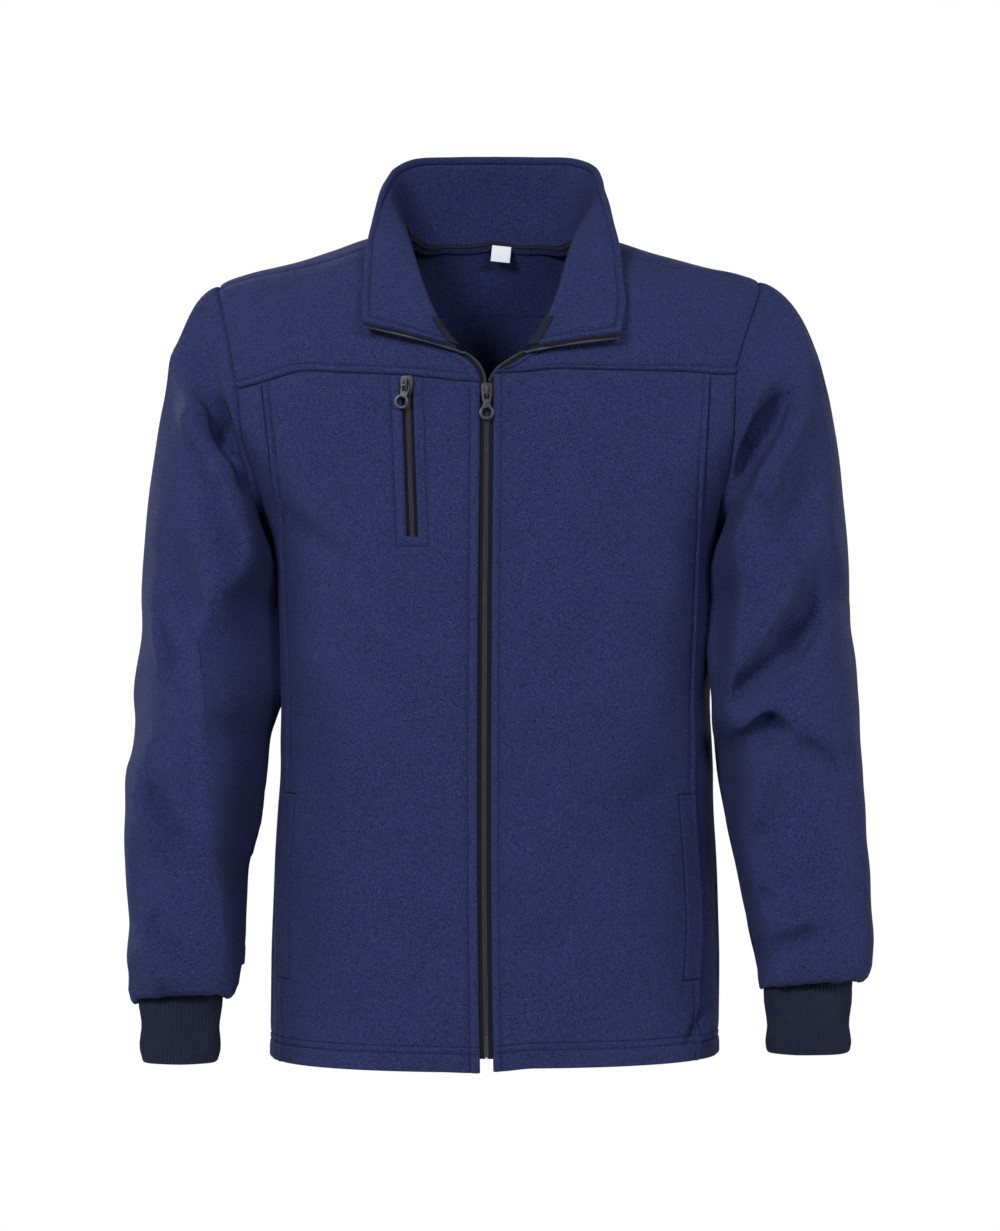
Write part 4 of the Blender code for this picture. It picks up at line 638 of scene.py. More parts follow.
class Curves:
    """Smooth curves through the columns of a table, by its first column."""

    def __init__(self, names, rows):
        data = np.array(sorted(map(tuple, rows)), float)
        self.at = data[:, 0]
        self.values = dict(zip(names[1:], data[:, 1:].T))
        step = np.diff(self.at)
        self.slopes = {}
        for name, values in self.values.items():
            rise = np.diff(values) / step
            inner = (rise[:-1] * step[1:] + rise[1:] * step[:-1]) / (step[1:] + step[:-1])
            self.slopes[name] = np.concatenate(([rise[0]], inner, [rise[-1]]))

    def __call__(self, name, where):
        where = np.clip(where, self.at[0], self.at[-1])
        i = np.clip(np.searchsorted(self.at, where) - 1, 0, len(self.at) - 2)
        step = self.at[i + 1] - self.at[i]
        y, slope = self.values[name], self.slopes[name]
        return hermite((where - self.at[i]) / step, y[i], slope[i], y[i + 1], slope[i + 1], step)

    def by_side(self, x, where):
        return np.where(np.asarray(x) < 0, self("right", where), self("left", where))


body = Curves(BODY_COLUMNS, BODY)
crest = Curves(CREST_COLUMNS, CREST)
seam_drop = Curves(SEAM_DROP_COLUMNS, SEAM_DROP)
armhole = Curves(ARMHOLE_COLUMNS, ARMHOLE)
princess = Curves(PRINCESS_COLUMNS, PRINCESS)
yoke_seam = Curves(YOKE_COLUMNS, YOKE_SEAM)
zip_line = Curves(ZIP_LINE_COLUMNS, ZIP_LINE)
neck_front = Curves(NECK_FRONT_COLUMNS, NECK_FRONT)
back_yoke_seam = Curves(BACK_YOKE_COLUMNS, BACK_YOKE_SEAM)
side_seam = Curves(SIDE_SEAM_COLUMNS, SIDE_SEAM)
sleeves = {side: Curves(SLEEVE_COLUMNS, SLEEVES[side]) for side in SIDES}
collars = {side: Curves(COLLAR_COLUMNS, COLLARS[side]) for side in SIDES}


def smooth_step(t):
    t = np.clip(t, 0.0, 1.0)
    return t * t * (3 - 2 * t)


def unit(v):
    return v / np.maximum(np.linalg.norm(v, axis=-1, keepdims=True), TINY)


def signed_power(value, power):
    return np.sign(value) * np.abs(value) ** power


def lengths(points):
    """Distance along a run of points, from its start."""
    return np.concatenate(([0.0], np.cumsum(np.linalg.norm(np.diff(points, axis=0), axis=-1))))


def columns_at(at, where, values):
    """Each column of some values, read off at places along them."""
    return np.stack([np.interp(at, where, values[:, i]) for i in range(values.shape[1])], -1)


def stations(length, spacing, fine=()):
    """Shares along a run: even steps, closer ones in the fine zones (from, to in mm)."""
    place = np.linspace(0, length, STATION_SAMPLES)
    density = np.full(place.shape, 1.0 / spacing)
    for low, high in fine:
        density = np.where((place >= low) & (place <= high), 1.0 / FINE, density)
    total = np.concatenate(([0.0], np.cumsum((density[1:] + density[:-1]) / 2 * np.diff(place))))
    count = int(math.ceil(total[-1]))
    return np.interp(np.linspace(0, total[-1], count + 1), total, place) / length


def snap(values, targets):
    """Move the nearest of some rising values onto each target."""
    values = values.copy()
    for target in targets:
        values[np.argmin(np.abs(values - target))] = target
    return values


def smooth_run(points, at):
    """Points on a smooth line through some points, at shares of its length."""
    points = np.asarray(points, float)
    where = lengths(points)
    names = [str(k) for k in range(points.shape[1] + 1)]
    curve = Curves(names, np.column_stack((where, points)))
    return np.stack([curve(name, at * where[-1]) for name in names[1:]], -1)


def bisect(function, low, high):
    """Where a function that is above zero at low falls to zero."""
    for _ in range(HALVINGS):
        middle = (low + high) / 2
        low, high = (middle, high) if function(middle) > 0 else (low, middle)
    return high


def settled(function, value, rounds):
    """The value that a function gives back unchanged, found by repeating it."""
    for _ in range(rounds):
        value = function(value)
    return value


# ------------------------------------------------------------- body surface
def crest_height(x):
    return crest.by_side(x, np.abs(x))


def shoulder_share(x, height):
    """How high a point of the shoulder lies, from the chest (0) to the crest (1)."""
    return np.clip((height - CHEST) / (crest_height(x) - CHEST), 0.0, 1.0)


def shoulder_depth(x, chest_y, height):
    out = np.maximum(0.0, 1 - shoulder_share(x, height)**SHELL_POWER) ** (1 / SHELL_POWER)
    return mix(crest("depth", np.abs(x)), chest_y, out)


def body_point(angle, height):
    """Points on the body at angles from the front's middle (+ to the wearer's left)."""
    angle, height = np.broadcast_arrays(np.asarray(angle, float), np.asarray(height, float))
    turn, low = np.radians(angle), np.minimum(height, CHEST)
    power = 2.0 / body("squareness", low)
    side = signed_power(np.sin(turn), power)
    x = body.by_side(side, low) * side
    depth = np.where(np.cos(turn) > 0, -body("front", low), body("back", low))
    y = depth * np.abs(np.cos(turn)) ** power
    y = np.where(height > CHEST, shoulder_depth(x, y, height), y)
    return np.stack((x, y, height), -1)


def angle_at(x, height, forward=True):
    """Angle at which the body's section lies this far across."""
    low = np.minimum(height, CHEST)
    share = np.minimum(np.abs(x) / body.by_side(x, low), 1.0)
    angle = np.degrees(np.arcsin(share ** (body("squareness", low) / 2.0)))
    return np.where(np.asarray(x) < 0, -1.0, 1.0) * (angle if forward else 180 - angle)


def over_shoulder(x, turn):
    """Points over the crest: turn -90 at the front of the chest, 0 on the crest, 90 behind."""
    x, turn = np.broadcast_arrays(np.asarray(x, float), np.asarray(turn, float))
    front_y = body_point(angle_at(x, CHEST), np.full(x.shape, CHEST))[..., 1]
    back_y = body_point(angle_at(x, CHEST, False), np.full(x.shape, CHEST))[..., 1]
    power = 2.0 / SHELL_POWER
    rise = np.abs(np.cos(np.radians(turn))) ** power
    out = np.abs(np.sin(np.radians(turn))) ** power
    height = mix(CHEST, crest_height(x), rise)
    y = mix(crest("depth", np.abs(x)), np.where(turn < 0, front_y, back_y), out)
    return np.stack((x, y, height), -1)


def turn_at(x, height, forward=True):
    turn = np.degrees(np.arccos(shoulder_share(x, height) ** (SHELL_POWER / 2.0)))
    return -turn if forward else turn


def facing(function, a, b, step_a, step_b):
    """Normals of a surface given by a function of two numbers."""
    da = function(a + step_a, b) - function(a - step_a, b)
    db = function(a, b + step_b) - function(a, b - step_b)
    return unit(np.cross(da, db))


def body_facing(angle, height):
    return facing(body_point, angle, height, *BODY_STEPS)


def shoulder_facing(x, turn):
    normal = facing(over_shoulder, x, turn, *SHOULDER_STEPS)
    return np.where(normal[..., 2:] < 0, -normal, normal)


def shoulder_seam_height(x):
    return crest_height(x) - seam_drop("drop", np.abs(x))


def armhole_across(side, height):
    return np.minimum(armhole(side, height), body(side, np.minimum(height, CHEST)))


class Armhole:
    """Corners of one armhole, and its edge part by part."""

    def __init__(self, side):
        self.side, self.sign = side, SIDES[side]

        def above_bottom(z):
            return armhole(side, z) - body(side, z)

        def below_top(z):
            return shoulder_seam_height(self.sign * armhole(side, z)) - z

        def at_yoke(z):
            return float(yoke_seam(side, armhole(side, z)))

        def at_back_yoke(z):
            return float(back_yoke_seam("height", armhole(side, z)))

        self.bottom = bisect(above_bottom, *ARMPIT_LEVELS)
        self.seam = settled(at_yoke, YOKE_LEVEL, CORNER_ROUNDS)
        self.top = bisect(below_top, *SHOULDER_LEVELS)
        self.back = settled(at_back_yoke, BACK_YOKE_LEVEL, CORNER_ROUNDS)
        self.x_top, self.x_back = armhole(side, self.top), armhole(side, self.back)
        self.turn_top = turn_at(self.sign * self.x_top, self.top)
        self.turn_back = turn_at(self.sign * self.x_back, self.back, False)

    def front(self, z):
        x = self.sign * armhole_across(self.side, z)
        return angle_at(x, z), z

    def behind(self, z):
        x = self.sign * armhole_across(self.side, z)
        return angle_at(x, z, False), z

    def over(self, t):
        """(x, turn) along the shoulder part, from the front's seam to the back's."""
        return self.sign * mix(self.x_top, self.x_back, t), mix(self.turn_top, self.turn_back, t)

    def loop(self, spacing):
        """Points and normals all round: up the front, over the shoulder, down the back."""
        count = int(ARMHOLE_ROUND / spacing)
        rising = np.linspace(0, 1, count // 2)
        falling = 1 - rising[:-1]
        front = self.front(mix(self.bottom, self.top, rising ** ARMHOLE_CROWD))
        over = self.over(np.linspace(0, 1, count // 6)[1:-1])
        behind = self.behind(mix(self.bottom, self.back, falling ** ARMHOLE_CROWD))
        points = np.concatenate((body_point(*front), over_shoulder(*over), body_point(*behind)))
        normals = np.concatenate((body_facing(*front), shoulder_facing(*over), body_facing(*behind)))
        return points, unit(normals)


armholes = {side: Armhole(side) for side in SIDES}


# -------------------------------------------------------------------- relief
def groove(d, depth, width):
    return depth * np.exp(-(d / width) ** 2)


def plain_edge(d):
    """A plain seam: the cloth turns in at its edge and is drawn in a little beside it."""
    return -groove(d, *SEAM_GROOVE) - groove(d, *SEAM_DRAW)


def band(d, width, lift):
    """Cloth that lies double up to a row of stitching."""
    return lift * (1 - smooth_step((d - width + BAND_SOFT / 2) / BAND_SOFT))


def puff(d, width, height):
    """Cloth that swells between an edge and a row of stitching."""
    return height * np.sin(np.pi * np.clip(d / width, 0, 1))


def stitched_edge(d, width=STITCHED, lift=BAND_LIFT):
    """A seam with a row of topstitching beside it: thick and soft up to the row, drawn in along it."""
    row = -groove(d - width, *ROW_GROOVE) - groove(d - width, *SEAM_ROW_DRAW)
    return band(d, width, lift) + puff(d, width, SEAM_PUFF) + row - groove(d, *STITCHED_GROOVE)


def stitched_row(d):
    return -groove(d, *ROW_GROOVE) - groove(d, *ROW_DRAW)


def free_edge(d):
    return -groove(d, *FREE_GROOVE)


def rounded_edge(d, radius):
    """Height of a quarter circle over an edge, as a share of the radius."""
    return np.sqrt(np.clip(1 - (1 - np.minimum(d / radius, 1)) ** 2, 0, 1))


def between(value, low, high, soft):
    """1 between two places, falling to 0 over a soft distance outside them."""
    return smooth_step((value - low + soft) / soft) * smooth_step((high + soft - value) / soft)


def beside_line(x, z, x0, z0, x1, z1):
    """Distance from a straight line seen from the front, and the share of the way along it."""
    t = ((x - x0) * (x1 - x0) + (z - z0) * (z1 - z0)) / ((x1 - x0) ** 2 + (z1 - z0) ** 2)
    t = np.clip(t, 0, 1)
    return np.hypot(x - mix(x0, x1, t), z - mix(z0, z1, t)), t


def fold_rise(folds, points, facing_y):
    """Height of all folds of both faces at points; facing_y is -1 at the front."""
    total = np.zeros(points.shape[:-1])
    x, z = points[..., 0], points[..., 2]
    for face, sign in (("front", -1), ("back", 1)):
        share = smooth_step(0.5 + sign * facing_y * FOLD_REACH)
        for *line, width, rise in folds[face]:
            away, _ = beside_line(x, z, *line)
            total += share * rise * np.exp(-(away / width) ** 2)
    return total


def crease_rise(name, points, facing_y):
    """Height of a group's creases where facing_y is negative; each fades towards its two ends."""
    total = np.zeros(points.shape[:-1])
    x, z = points[..., 0], points[..., 2]
    share = smooth_step((-CREASE_LIMIT - facing_y) / CREASE_SOFT)
    for width, rise, line in CREASES[name]:
        line = np.array(line, float)
        where = lengths(line)
        best, along = np.full(x.shape, np.inf), np.zeros(x.shape)
        for k in range(len(line) - 1):
            away, t = beside_line(x, z, *line[k], *line[k + 1])
            along = np.where(away < best, mix(where[k], where[k + 1], t), along)
            best = np.minimum(best, away)
        end = np.minimum(along, where[-1] - along) / where[-1]
        fading = mix(CREASE_END_HEIGHT, 1.0, smooth_step(end / CREASE_END))
        total += share * rise * fading * np.exp(-(best / width) ** 2)
    return total


def ripple(name, points):
    """Slight unevenness of hanging cloth: waves that run in ways drawn at random."""
    seed, height, shortest, longest = RIPPLES[name]
    rng = np.random.default_rng(seed)
    total = np.zeros(points.shape[:-1])
    for _ in range(RIPPLE_WAVES):
        way = unit(rng.normal(size=3) * RIPPLE_WAYS)
        total += np.sin(points @ way * 2 * math.pi / rng.uniform(shortest, longest)
                        + rng.uniform(0, RIPPLE_START))
    return total * height / math.sqrt(RIPPLE_WAVES)


def body_folds(points, facing_y):
    return (fold_rise(BODY_FOLDS, points, facing_y) + crease_rise("body", points, facing_y)
            + crease_rise("back", points, -facing_y))


# -------------------------------------------------------------- cloth pieces
def piece(name, points, faces, material):
    """A named object from points in millimetres, riding on the jacket's body."""
    mesh = bpy.data.meshes.new(name)
    mesh.from_pydata((np.asarray(points) * MM).tolist(), [], [list(map(int, f)) for f in faces])
    bm = bmesh.new()
    bm.from_mesh(mesh)
    bmesh.ops.delete(bm, geom=[v for v in bm.verts if not v.link_faces], context="VERTS")
    bmesh.ops.recalc_face_normals(bm, faces=bm.faces)
    bm.to_mesh(mesh)
    bm.free()
    mesh.shade_smooth()
    mesh.set_sharp_from_angle(angle=math.radians(CLOTH_SHARP))
    mesh.materials.append(material)
    thing = bpy.data.objects.new(name, mesh)
    bpy.context.scene.collection.objects.link(thing)
    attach(thing, "jacket")
    return thing


def shell(name, outer, inner, material, closed=False, hole=None):
    """Closed cloth between two grids of points (columns, rows)."""
    columns, rows = outer.shape[:2]
    count = columns * rows
    index = np.arange(count).reshape(columns, rows)
    if closed:
        index = np.concatenate((index, index[:1]))
    quads = np.stack((index[:-1, :-1], index[1:, :-1], index[1:, 1:], index[:-1, 1:]), -1)
    quads = quads[~hole] if hole is not None else quads.reshape(-1, 4)
    edges = np.concatenate([quads[:, [k, (k + 1) % 4]] for k in range(4)])
    keys = edges[:, 0].astype(np.int64) * count + edges[:, 1]
    rim = edges[~np.isin(keys, edges[:, 1].astype(np.int64) * count + edges[:, 0])]
    sides = np.stack((rim[:, 1], rim[:, 0], rim[:, 0] + count, rim[:, 1] + count), -1)
    faces = np.concatenate((quads, quads[:, ::-1] + count, sides))
    points = np.concatenate((outer.reshape(-1, 3), inner.reshape(-1, 3)))
    return piece(name, points, faces, material)


def grid_facing(points, outwards, closed=False):
    """Normals of a grid of points, on the side of the given directions."""
    if closed:
        across = np.roll(points, -1, 0) - np.roll(points, 1, 0)
    else:
        across = np.gradient(points, axis=0)
    normals = unit(np.cross(across, np.gradient(points, axis=1)))
    return normals if np.sum(normals * outwards) > 0 else -normals


class Grid:
    """A piece of cloth as a grid of points (columns, rows), with distances from its edges."""

    def __init__(self, name, points, outwards, closed=False):
        self.name, self.points, self.closed = name, points, closed
        across = np.linalg.norm(np.diff(points, axis=0), axis=-1)
        along = np.linalg.norm(np.diff(points, axis=1), axis=-1)
        self.start = np.concatenate((np.zeros((1, points.shape[1])), np.cumsum(across, 0)))
        self.end = self.start[-1:] - self.start
        self.low = np.concatenate((np.zeros((points.shape[0], 1)), np.cumsum(along, 1)), 1)
        self.high = self.low[:, -1:] - self.low
        self.normals = grid_facing(points, outwards, closed)
        self.folded = np.zeros(points.shape[:2])
        self.raised = np.zeros(points.shape[:2])

    def line(self, edge, distance):
        """Points and normals on the outside along a line at one distance from an edge."""
        away, places, normals = getattr(self, edge), self.outer, self.normals
        if edge in ("start", "end"):
            away, places, normals = away.T, np.swapaxes(places, 0, 1), np.swapaxes(normals, 0, 1)
        points, faces = [], []
        for run, place, normal in zip(away, places, normals):
            order = np.argsort(run)
            points.append(columns_at(distance, run[order], place[order]))
            faces.append(columns_at(distance, run[order], normal[order]))
        return np.array(points), unit(np.array(faces))

    def fade(self, distance=SEAM_FADE):
        """1 inside a piece, falling to 0 at its seams, so that neighbours keep meeting."""
        edges = np.minimum(self.low, self.high)
        if not self.closed:
            edges = np.minimum(edges, np.minimum(self.start, self.end))
        return smooth_step(edges / distance)

    def hang(self, name, distance=SEAM_FADE):
        """Give a piece of the body its folds, its creases and its own unevenness."""
        self.folded = body_folds(self.points, self.normals[..., 1])
        self.folded += ripple(name, self.points) * self.fade(distance)

    def build(self, node_name, hole=None, edges=()):
        """Raise the outside, hang the inside a thickness behind and let the edges meet."""
        height = self.folded + self.raised
        self.outer = self.points + self.normals * height[..., None]
        self.inner = self.points + self.normals * (self.folded - FLEECE)[..., None]
        for grid in (self.outer, self.inner):
            rows = np.swapaxes(grid, 0, 1)
            for edge, lines, outermost, next_in in (("start", grid, 0, 1), ("end", grid, -1, -2),
                                                    ("low", rows, 0, 1), ("high", rows, -1, -2)):
                if edge in edges:
                    lines[outermost] -= unit(lines[next_in] - lines[outermost]) * SEAM_LAP
        self.cover(fleece, node_name, hole)
        return self

    def cover(self, material, node_name, hole=None):
        """Make the piece from its outside and inside, in place of a node."""
        self.thing = shell(self.name, self.outer, self.inner, material, self.closed, hole)
        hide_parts(node_name)
        self.declare_sheet()

    def declare_sheet(self):
        """Work out how wide the flat piece of cloth is; nothing is done with that width."""
        across = self.start[-1].max()
        if self.closed:
            across += np.linalg.norm(self.points[0] - self.points[-1], axis=-1).max()


def from_axis(points):
    """Directions away from the body's upright axis."""
    return unit(points * np.array((1.0, 1.0, 0.0)))


# ------------------------------------------------------------------- panels
def front_edge(side, height):
    """Signed x of a front's edge beside the zip."""
    return zip_line("across", height) + SIDES[side] * ZIP_OPENING / 2


def pocket_middle(height):
    return mix(POCKET_ACROSS[1], POCKET_ACROSS[0],
               (height - POCKET_BOTTOM) / (POCKET_TOP - POCKET_BOTTOM))


def front_x(side, share, height):
    """Signed x on a front, from the zip (share 0) to the princess seam (share 1)."""
    edge, seam = front_edge(side, height), SIDES[side] * princess(side, height)
    if side == "left":
        return mix(edge, seam, share)
    middle = pocket_middle(height)
    knots = (edge, mix(edge, seam, SLOT_KNOTS[1]), middle + POCKET_HALF, middle - POCKET_HALF,
             mix(edge, seam, SLOT_KNOTS[4]), seam)
    x = edge + 0 * share
    for k in range(len(knots) - 1):
        low, high = SLOT_KNOTS[k], SLOT_KNOTS[k + 1]
        t = np.clip((share - low) / (high - low), 0, 1)
        x = np.where(share >= low, mix(knots[k], knots[k + 1], t), x)
    return x


def seam_rows(low, seam, across, rows):
    """Heights of a panel's rows, from its lower edge up to a seam given over |x|."""
    top = settled(lambda top: seam(np.abs(across(top))), np.full(len(low), SEAM_LEVEL), SEAM_ROUNDS)
    return mix(low[:, None], top[:, None], rows[None, :])


def pocket_share(z):
    """How far the hand pocket's opening gapes at a height."""
    return between(z, HAND_POCKET[0] + GAPE_INSET, HAND_POCKET[1] - GAPE_INSET, GAPE_SOFT)


def hem_relief(grid):
    rows = sum(stitched_row(grid.low - row) for row in HEM_STITCHES)
    turned = HEM_LIFT * (1 - smooth_step((grid.low - HEM_STITCHES[1]) / HEM_SOFT))
    return rows + turned + free_edge(grid.low)


def hand_pocket_relief(grid, side, x, z):
    """The opening in the princess seam, and the stitching that holds the pocket's facing."""
    gape, wide = pocket_share(z), HAND_POCKET_WIDE[side]
    across = princess(side, z) - np.abs(x)
    relief = stitched_edge(grid.end) * (1 - gape)
    relief += gape * (groove(grid.end - LIP_PLACE, *LIP) - groove(grid.end, *ROW_GROOVE))
    relief -= groove(across - wide, *FACING_GROOVE) * between(z, *HAND_POCKET, 1.0)
    for level in HAND_POCKET:
        relief -= groove(z - level, *FACING_GROOVE) * (across < wide + FACING_GROOVE[1] / 2)
    return relief


def chest_pocket_relief(x, z):
    """The slot's edge and the box of stitching round it, which is square at the bottom."""
    off = np.maximum(np.abs(x - pocket_middle(z)) - POCKET_HALF, 0)
    below = np.maximum(POCKET_BOTTOM - z, 0)
    square = np.maximum(off, below)
    swell = POCKET_SWELL * between(square, SWELL_INSET, POCKET_BOX - SWELL_INSET, SWELL_INSET)
    return stitched_row(square - POCKET_BOX) + swell - groove(np.hypot(off, below), *SLOT_GROOVE)


def front_panel(side):
    hem_level, width = HEM_LEVEL[side], FRONT_WIDE
    pocket_row = (POCKET_BOTTOM - hem_level) / (YOKE_AT_POCKET - hem_level)
    around = POCKET_BOX + ROW_ZONE
    columns = [(0, ZIP_ZONE), (width - HAND_POCKET_ZONE, width)]
    zones = [(0, HEM_ZONE), (PANEL_TALL - YOKE_ZONE, PANEL_TALL)]
    zones += [(z - hem_level - ROW_ZONE, z - hem_level + ROW_ZONE) for z in HAND_POCKET]
    if side == "right":
        low = POCKET_BOTTOM - hem_level
        columns += [(SLOT_KNOTS[2] * width - around, SLOT_KNOTS[3] * width + around)]
        zones += [(low - around, low + SLOT_ZONE)]
    shares, rows = stations(width, GRID, columns), stations(PANEL_TALL, GRID, zones)
    hem = hem_level - HEM_DROP[side] * (1 - smooth_step(shares / HEM_CORNER))
    if side == "right":
        shares = snap(shares, SLOT_KNOTS[2:4])
        rows = snap(rows, [pocket_row])
    z = seam_rows(hem, lambda x: yoke_seam(side, x), lambda top: front_x(side, shares, top), rows)
    x = front_x(side, shares[:, None], z)
    points = body_point(angle_at(x, z), z)
    grid = Grid("front_panel_%s_cloth" % side, points, from_axis(points))
    grid.hang("front")
    grid.raised = stitched_edge(grid.start, EDGE_STITCH[side], EDGE_LIFT) + hem_relief(grid)
    grid.raised += plain_edge(grid.high) + hand_pocket_relief(grid, side, x, z)
    hole = None
    if side == "right":
        inside = (shares[:-1] > SLOT_KNOTS[2] - TINY) & (shares[:-1] < SLOT_KNOTS[3] - TINY)
        first = np.argmin(np.abs(rows - pocket_row))
        hole = inside[:, None] & (np.arange(len(rows) - 1) >= first)[None, :]
        grid.raised += chest_pocket_relief(x, z)
    return grid.build("front_panel_" + side, hole, ("end", "high"))


def side_angle(side, share, z):
    """Angle on a side panel, from the princess seam to the side seam and the armhole."""
    hole = armholes[side]
    near = angle_at(SIDES[side] * princess(side, z), z)
    far = np.where(z < hole.bottom, SIDES[side] * side_seam("angle", z), hole.front(z)[0])
    return mix(near, far, share)


def side_panel(side):
    width, tall = SIDE_WIDE, PANEL_TALL
    shares = stations(width, GRID, [(0, SEAM_ZONE), (width - SIDE_ZONE, width)])
    rows = stations(tall, GRID, [(0, HEM_ZONE), (tall - SEAM_ZONE, tall)])
    hem = np.full(len(shares), HEM_LEVEL[side])
    z = seam_rows(hem, lambda x: yoke_seam(side, x),
                  lambda top: body_point(side_angle(side, shares, top), top)[:, 0], rows)
    points = body_point(side_angle(side, shares[:, None], z), z)
    grid = Grid("side_panel_%s_cloth" % side, points, from_axis(points))
    grid.hang("side")
    grid.raised = plain_edge(grid.start) + plain_edge(grid.end) + plain_edge(grid.high)
    grid.raised += hem_relief(grid) - pocket_share(z) * groove(grid.start, *GAPE)
    return grid.build("side_panel_" + side, edges=("start", "end", "high"))


def back_angle(share, z):
    """Angle on the back, from the left side seam and armhole to the right ones."""
    ends = {}
    for side in SIDES:
        low = SIDES[side] * side_seam("angle", z)
        ends[side] = np.where(z < armholes[side].bottom, low, armholes[side].behind(z)[0])
    return mix(ends["left"], 360.0 + ends["right"], share)


def back_panel():
    width, tall = BACK_WIDE, BACK_TALL
    shares = stations(width, BACK_GRID, [(0, SIDE_ZONE), (width - SIDE_ZONE, width)])
    rows = stations(tall, BACK_GRID, [(0, HEM_ZONE), (tall - SEAM_ZONE, tall)])
    # the hem's two levels meet in the middle of the back
    hem = mix(HEM_LEVEL["left"], HEM_LEVEL["right"], smooth_step((shares - BACK_HEM[0]) * BACK_HEM[1]))
    z = seam_rows(hem, lambda x: back_yoke_seam("height", x),
                  lambda top: body_point(back_angle(shares, top), top)[:, 0], rows)
    points = body_point(back_angle(shares[:, None], z), z)
    grid = Grid("back_panel_cloth", points, from_axis(points))
    grid.hang("back", BACK_FADE)
    grid.raised = plain_edge(grid.start) + plain_edge(grid.end) + plain_edge(grid.high) + hem_relief(grid)
    return grid.build("back_panel", edges=("start", "end", "high"))


# -------------------------------------------------------------------- yokes
def yoke_inner(side, t):
    """(x, turn) along the front yoke's edge at the zip and the neck, from the yoke seam up."""
    start = front_edge(side, POCKET_TOP)
    low = float(yoke_seam(side, abs(start)))
    neck = np.linspace(NECK_SEAM_END, 0.0, NECK_STEPS)
    heights = np.array([low, mix(low, NECK_SEAM_END, EDGE_KNOT), *neck])
    z = np.interp(t, np.linspace(0, 1, len(heights)), heights)
    # at the yoke seam the edge starts where the front's edge ends
    x = mix(SIDES[side] * neck_front(side, z), start, 1 - smooth_step((z - low) / YOKE_CORNER))
    return x, turn_at(x, z)


def patch(first, last, low, high, u, t):
    """Values between four edges: first to last over u, low to high over t."""
    flat = mix(mix(first[0], last[0], u), mix(first[-1], last[-1], u), t)
    return mix(first[None, :], last[None, :], u) + mix(low, high, t) - flat


def front_yoke(side):
    hole = armholes[side]
    wide, tall = YOKE_SIZE
    shares = stations(wide, YOKE_GRID, [(0, YOKE_EDGE_ZONE), (wide - YOKE_SEAM_ZONE, wide)])
    rows = stations(tall, YOKE_GRID, [(0, TOPSTITCH_ZONE), (tall - YOKE_SEAM_ZONE, tall)])
    t, u = rows[None, :], shares[:, None]
    in_x, in_turn = yoke_inner(side, rows)
    out_z = mix(hole.seam, hole.top, rows)
    out_x = SIDES[side] * armhole_across(side, out_z)
    out_turn = turn_at(out_x, out_z)
    low_x, high_x = mix(in_x[0], out_x[0], u), mix(in_x[-1], out_x[-1], u)
    low_turn = turn_at(low_x, yoke_seam(side, np.abs(low_x)))
    high_turn = turn_at(high_x, shoulder_seam_height(high_x))
    points = over_shoulder(patch(in_x, out_x, low_x, high_x, u, t),
                           patch(in_turn, out_turn, low_turn, high_turn, u, t))
    grid = Grid("front_yoke_%s_cloth" % side, points, YOKE_FACES["front"])
    grid.hang("front_yoke")
    below, soft = NECK_SEAM_SOFT
    open_part = 1 - smooth_step((points[..., 2] - NECK_SEAM_END + below) / soft)
    grid.raised = stitched_edge(grid.low) + plain_edge(grid.high) + plain_edge(grid.end)
    grid.raised += open_part * stitched_edge(grid.start, EDGE_STITCH[side], EDGE_LIFT)
    grid.raised += (1 - open_part) * plain_edge(grid.start)
    return grid.build("front_yoke_" + side, edges=("start", "end", "low", "high"))


def neck_back_points():
    """(x, turn) along the neck seam, from the right shoulder seam round the back to the left one."""
    ends = {}
    for side in SIDES:
        x = float(neck_front(side, 0.0))
        ends[side] = (SIDES[side] * x, float(turn_at(x, shoulder_seam_height(x))))
    right_half = [(-x, turn) for x, turn in reversed(NECK_BACK)]
    return [ends["right"], *right_half, *NECK_BACK[1:], ends["left"]]


def back_yoke():
    neck = smooth_run(neck_back_points(), np.linspace(0, 1, NECK_COLUMNS))
    wide, tall = BACK_YOKE_SIZE
    tops, lows = {}, {}
    for side in SIDES:
        hole = armholes[side]
        u = stations(wide, GRID, [(wide - YOKE_SEAM_ZONE, wide)])[1:]
        x = mix(SIDES[side] * float(neck_front(side, 0.0)), hole.over(0.0)[0], u)
        tops[side] = np.stack((x, turn_at(x, shoulder_seam_height(x))), -1)
        lows[side] = mix(SIDES[side] * BACK_INNER, hole.over(1.0)[0], u)
    top = np.concatenate((tops["right"][::-1], neck, tops["left"]))
    below_neck = np.linspace(-BACK_INNER, BACK_INNER, len(neck))
    low_x = np.concatenate((lows["right"][::-1], below_neck, lows["left"]))
    low_turn = turn_at(low_x, back_yoke_seam("height", np.abs(low_x)), False)
    zones = [(0, TOPSTITCH_ZONE), (tall - YOKE_SEAM_ZONE, tall)]
    rows = stations(tall, BACK_YOKE_GRID, zones)[None, :]
    x, turn = mix(low_x[:, None], top[:, :1], rows), mix(low_turn[:, None], top[:, 1:], rows)
    points = over_shoulder(x, turn)
    grid = Grid("back_yoke_cloth", points, YOKE_FACES["back"])
    grid.folded = fold_rise(BODY_FOLDS, points, grid.normals[..., 1])
    grid.folded += ripple("back_yoke", points) * grid.fade()
    grid.raised = stitched_edge(grid.low) + plain_edge(grid.high) + plain_edge(grid.start)
    grid.raised += plain_edge(grid.end)
    return grid.build("back_yoke", edges=("start", "end", "low", "high"))


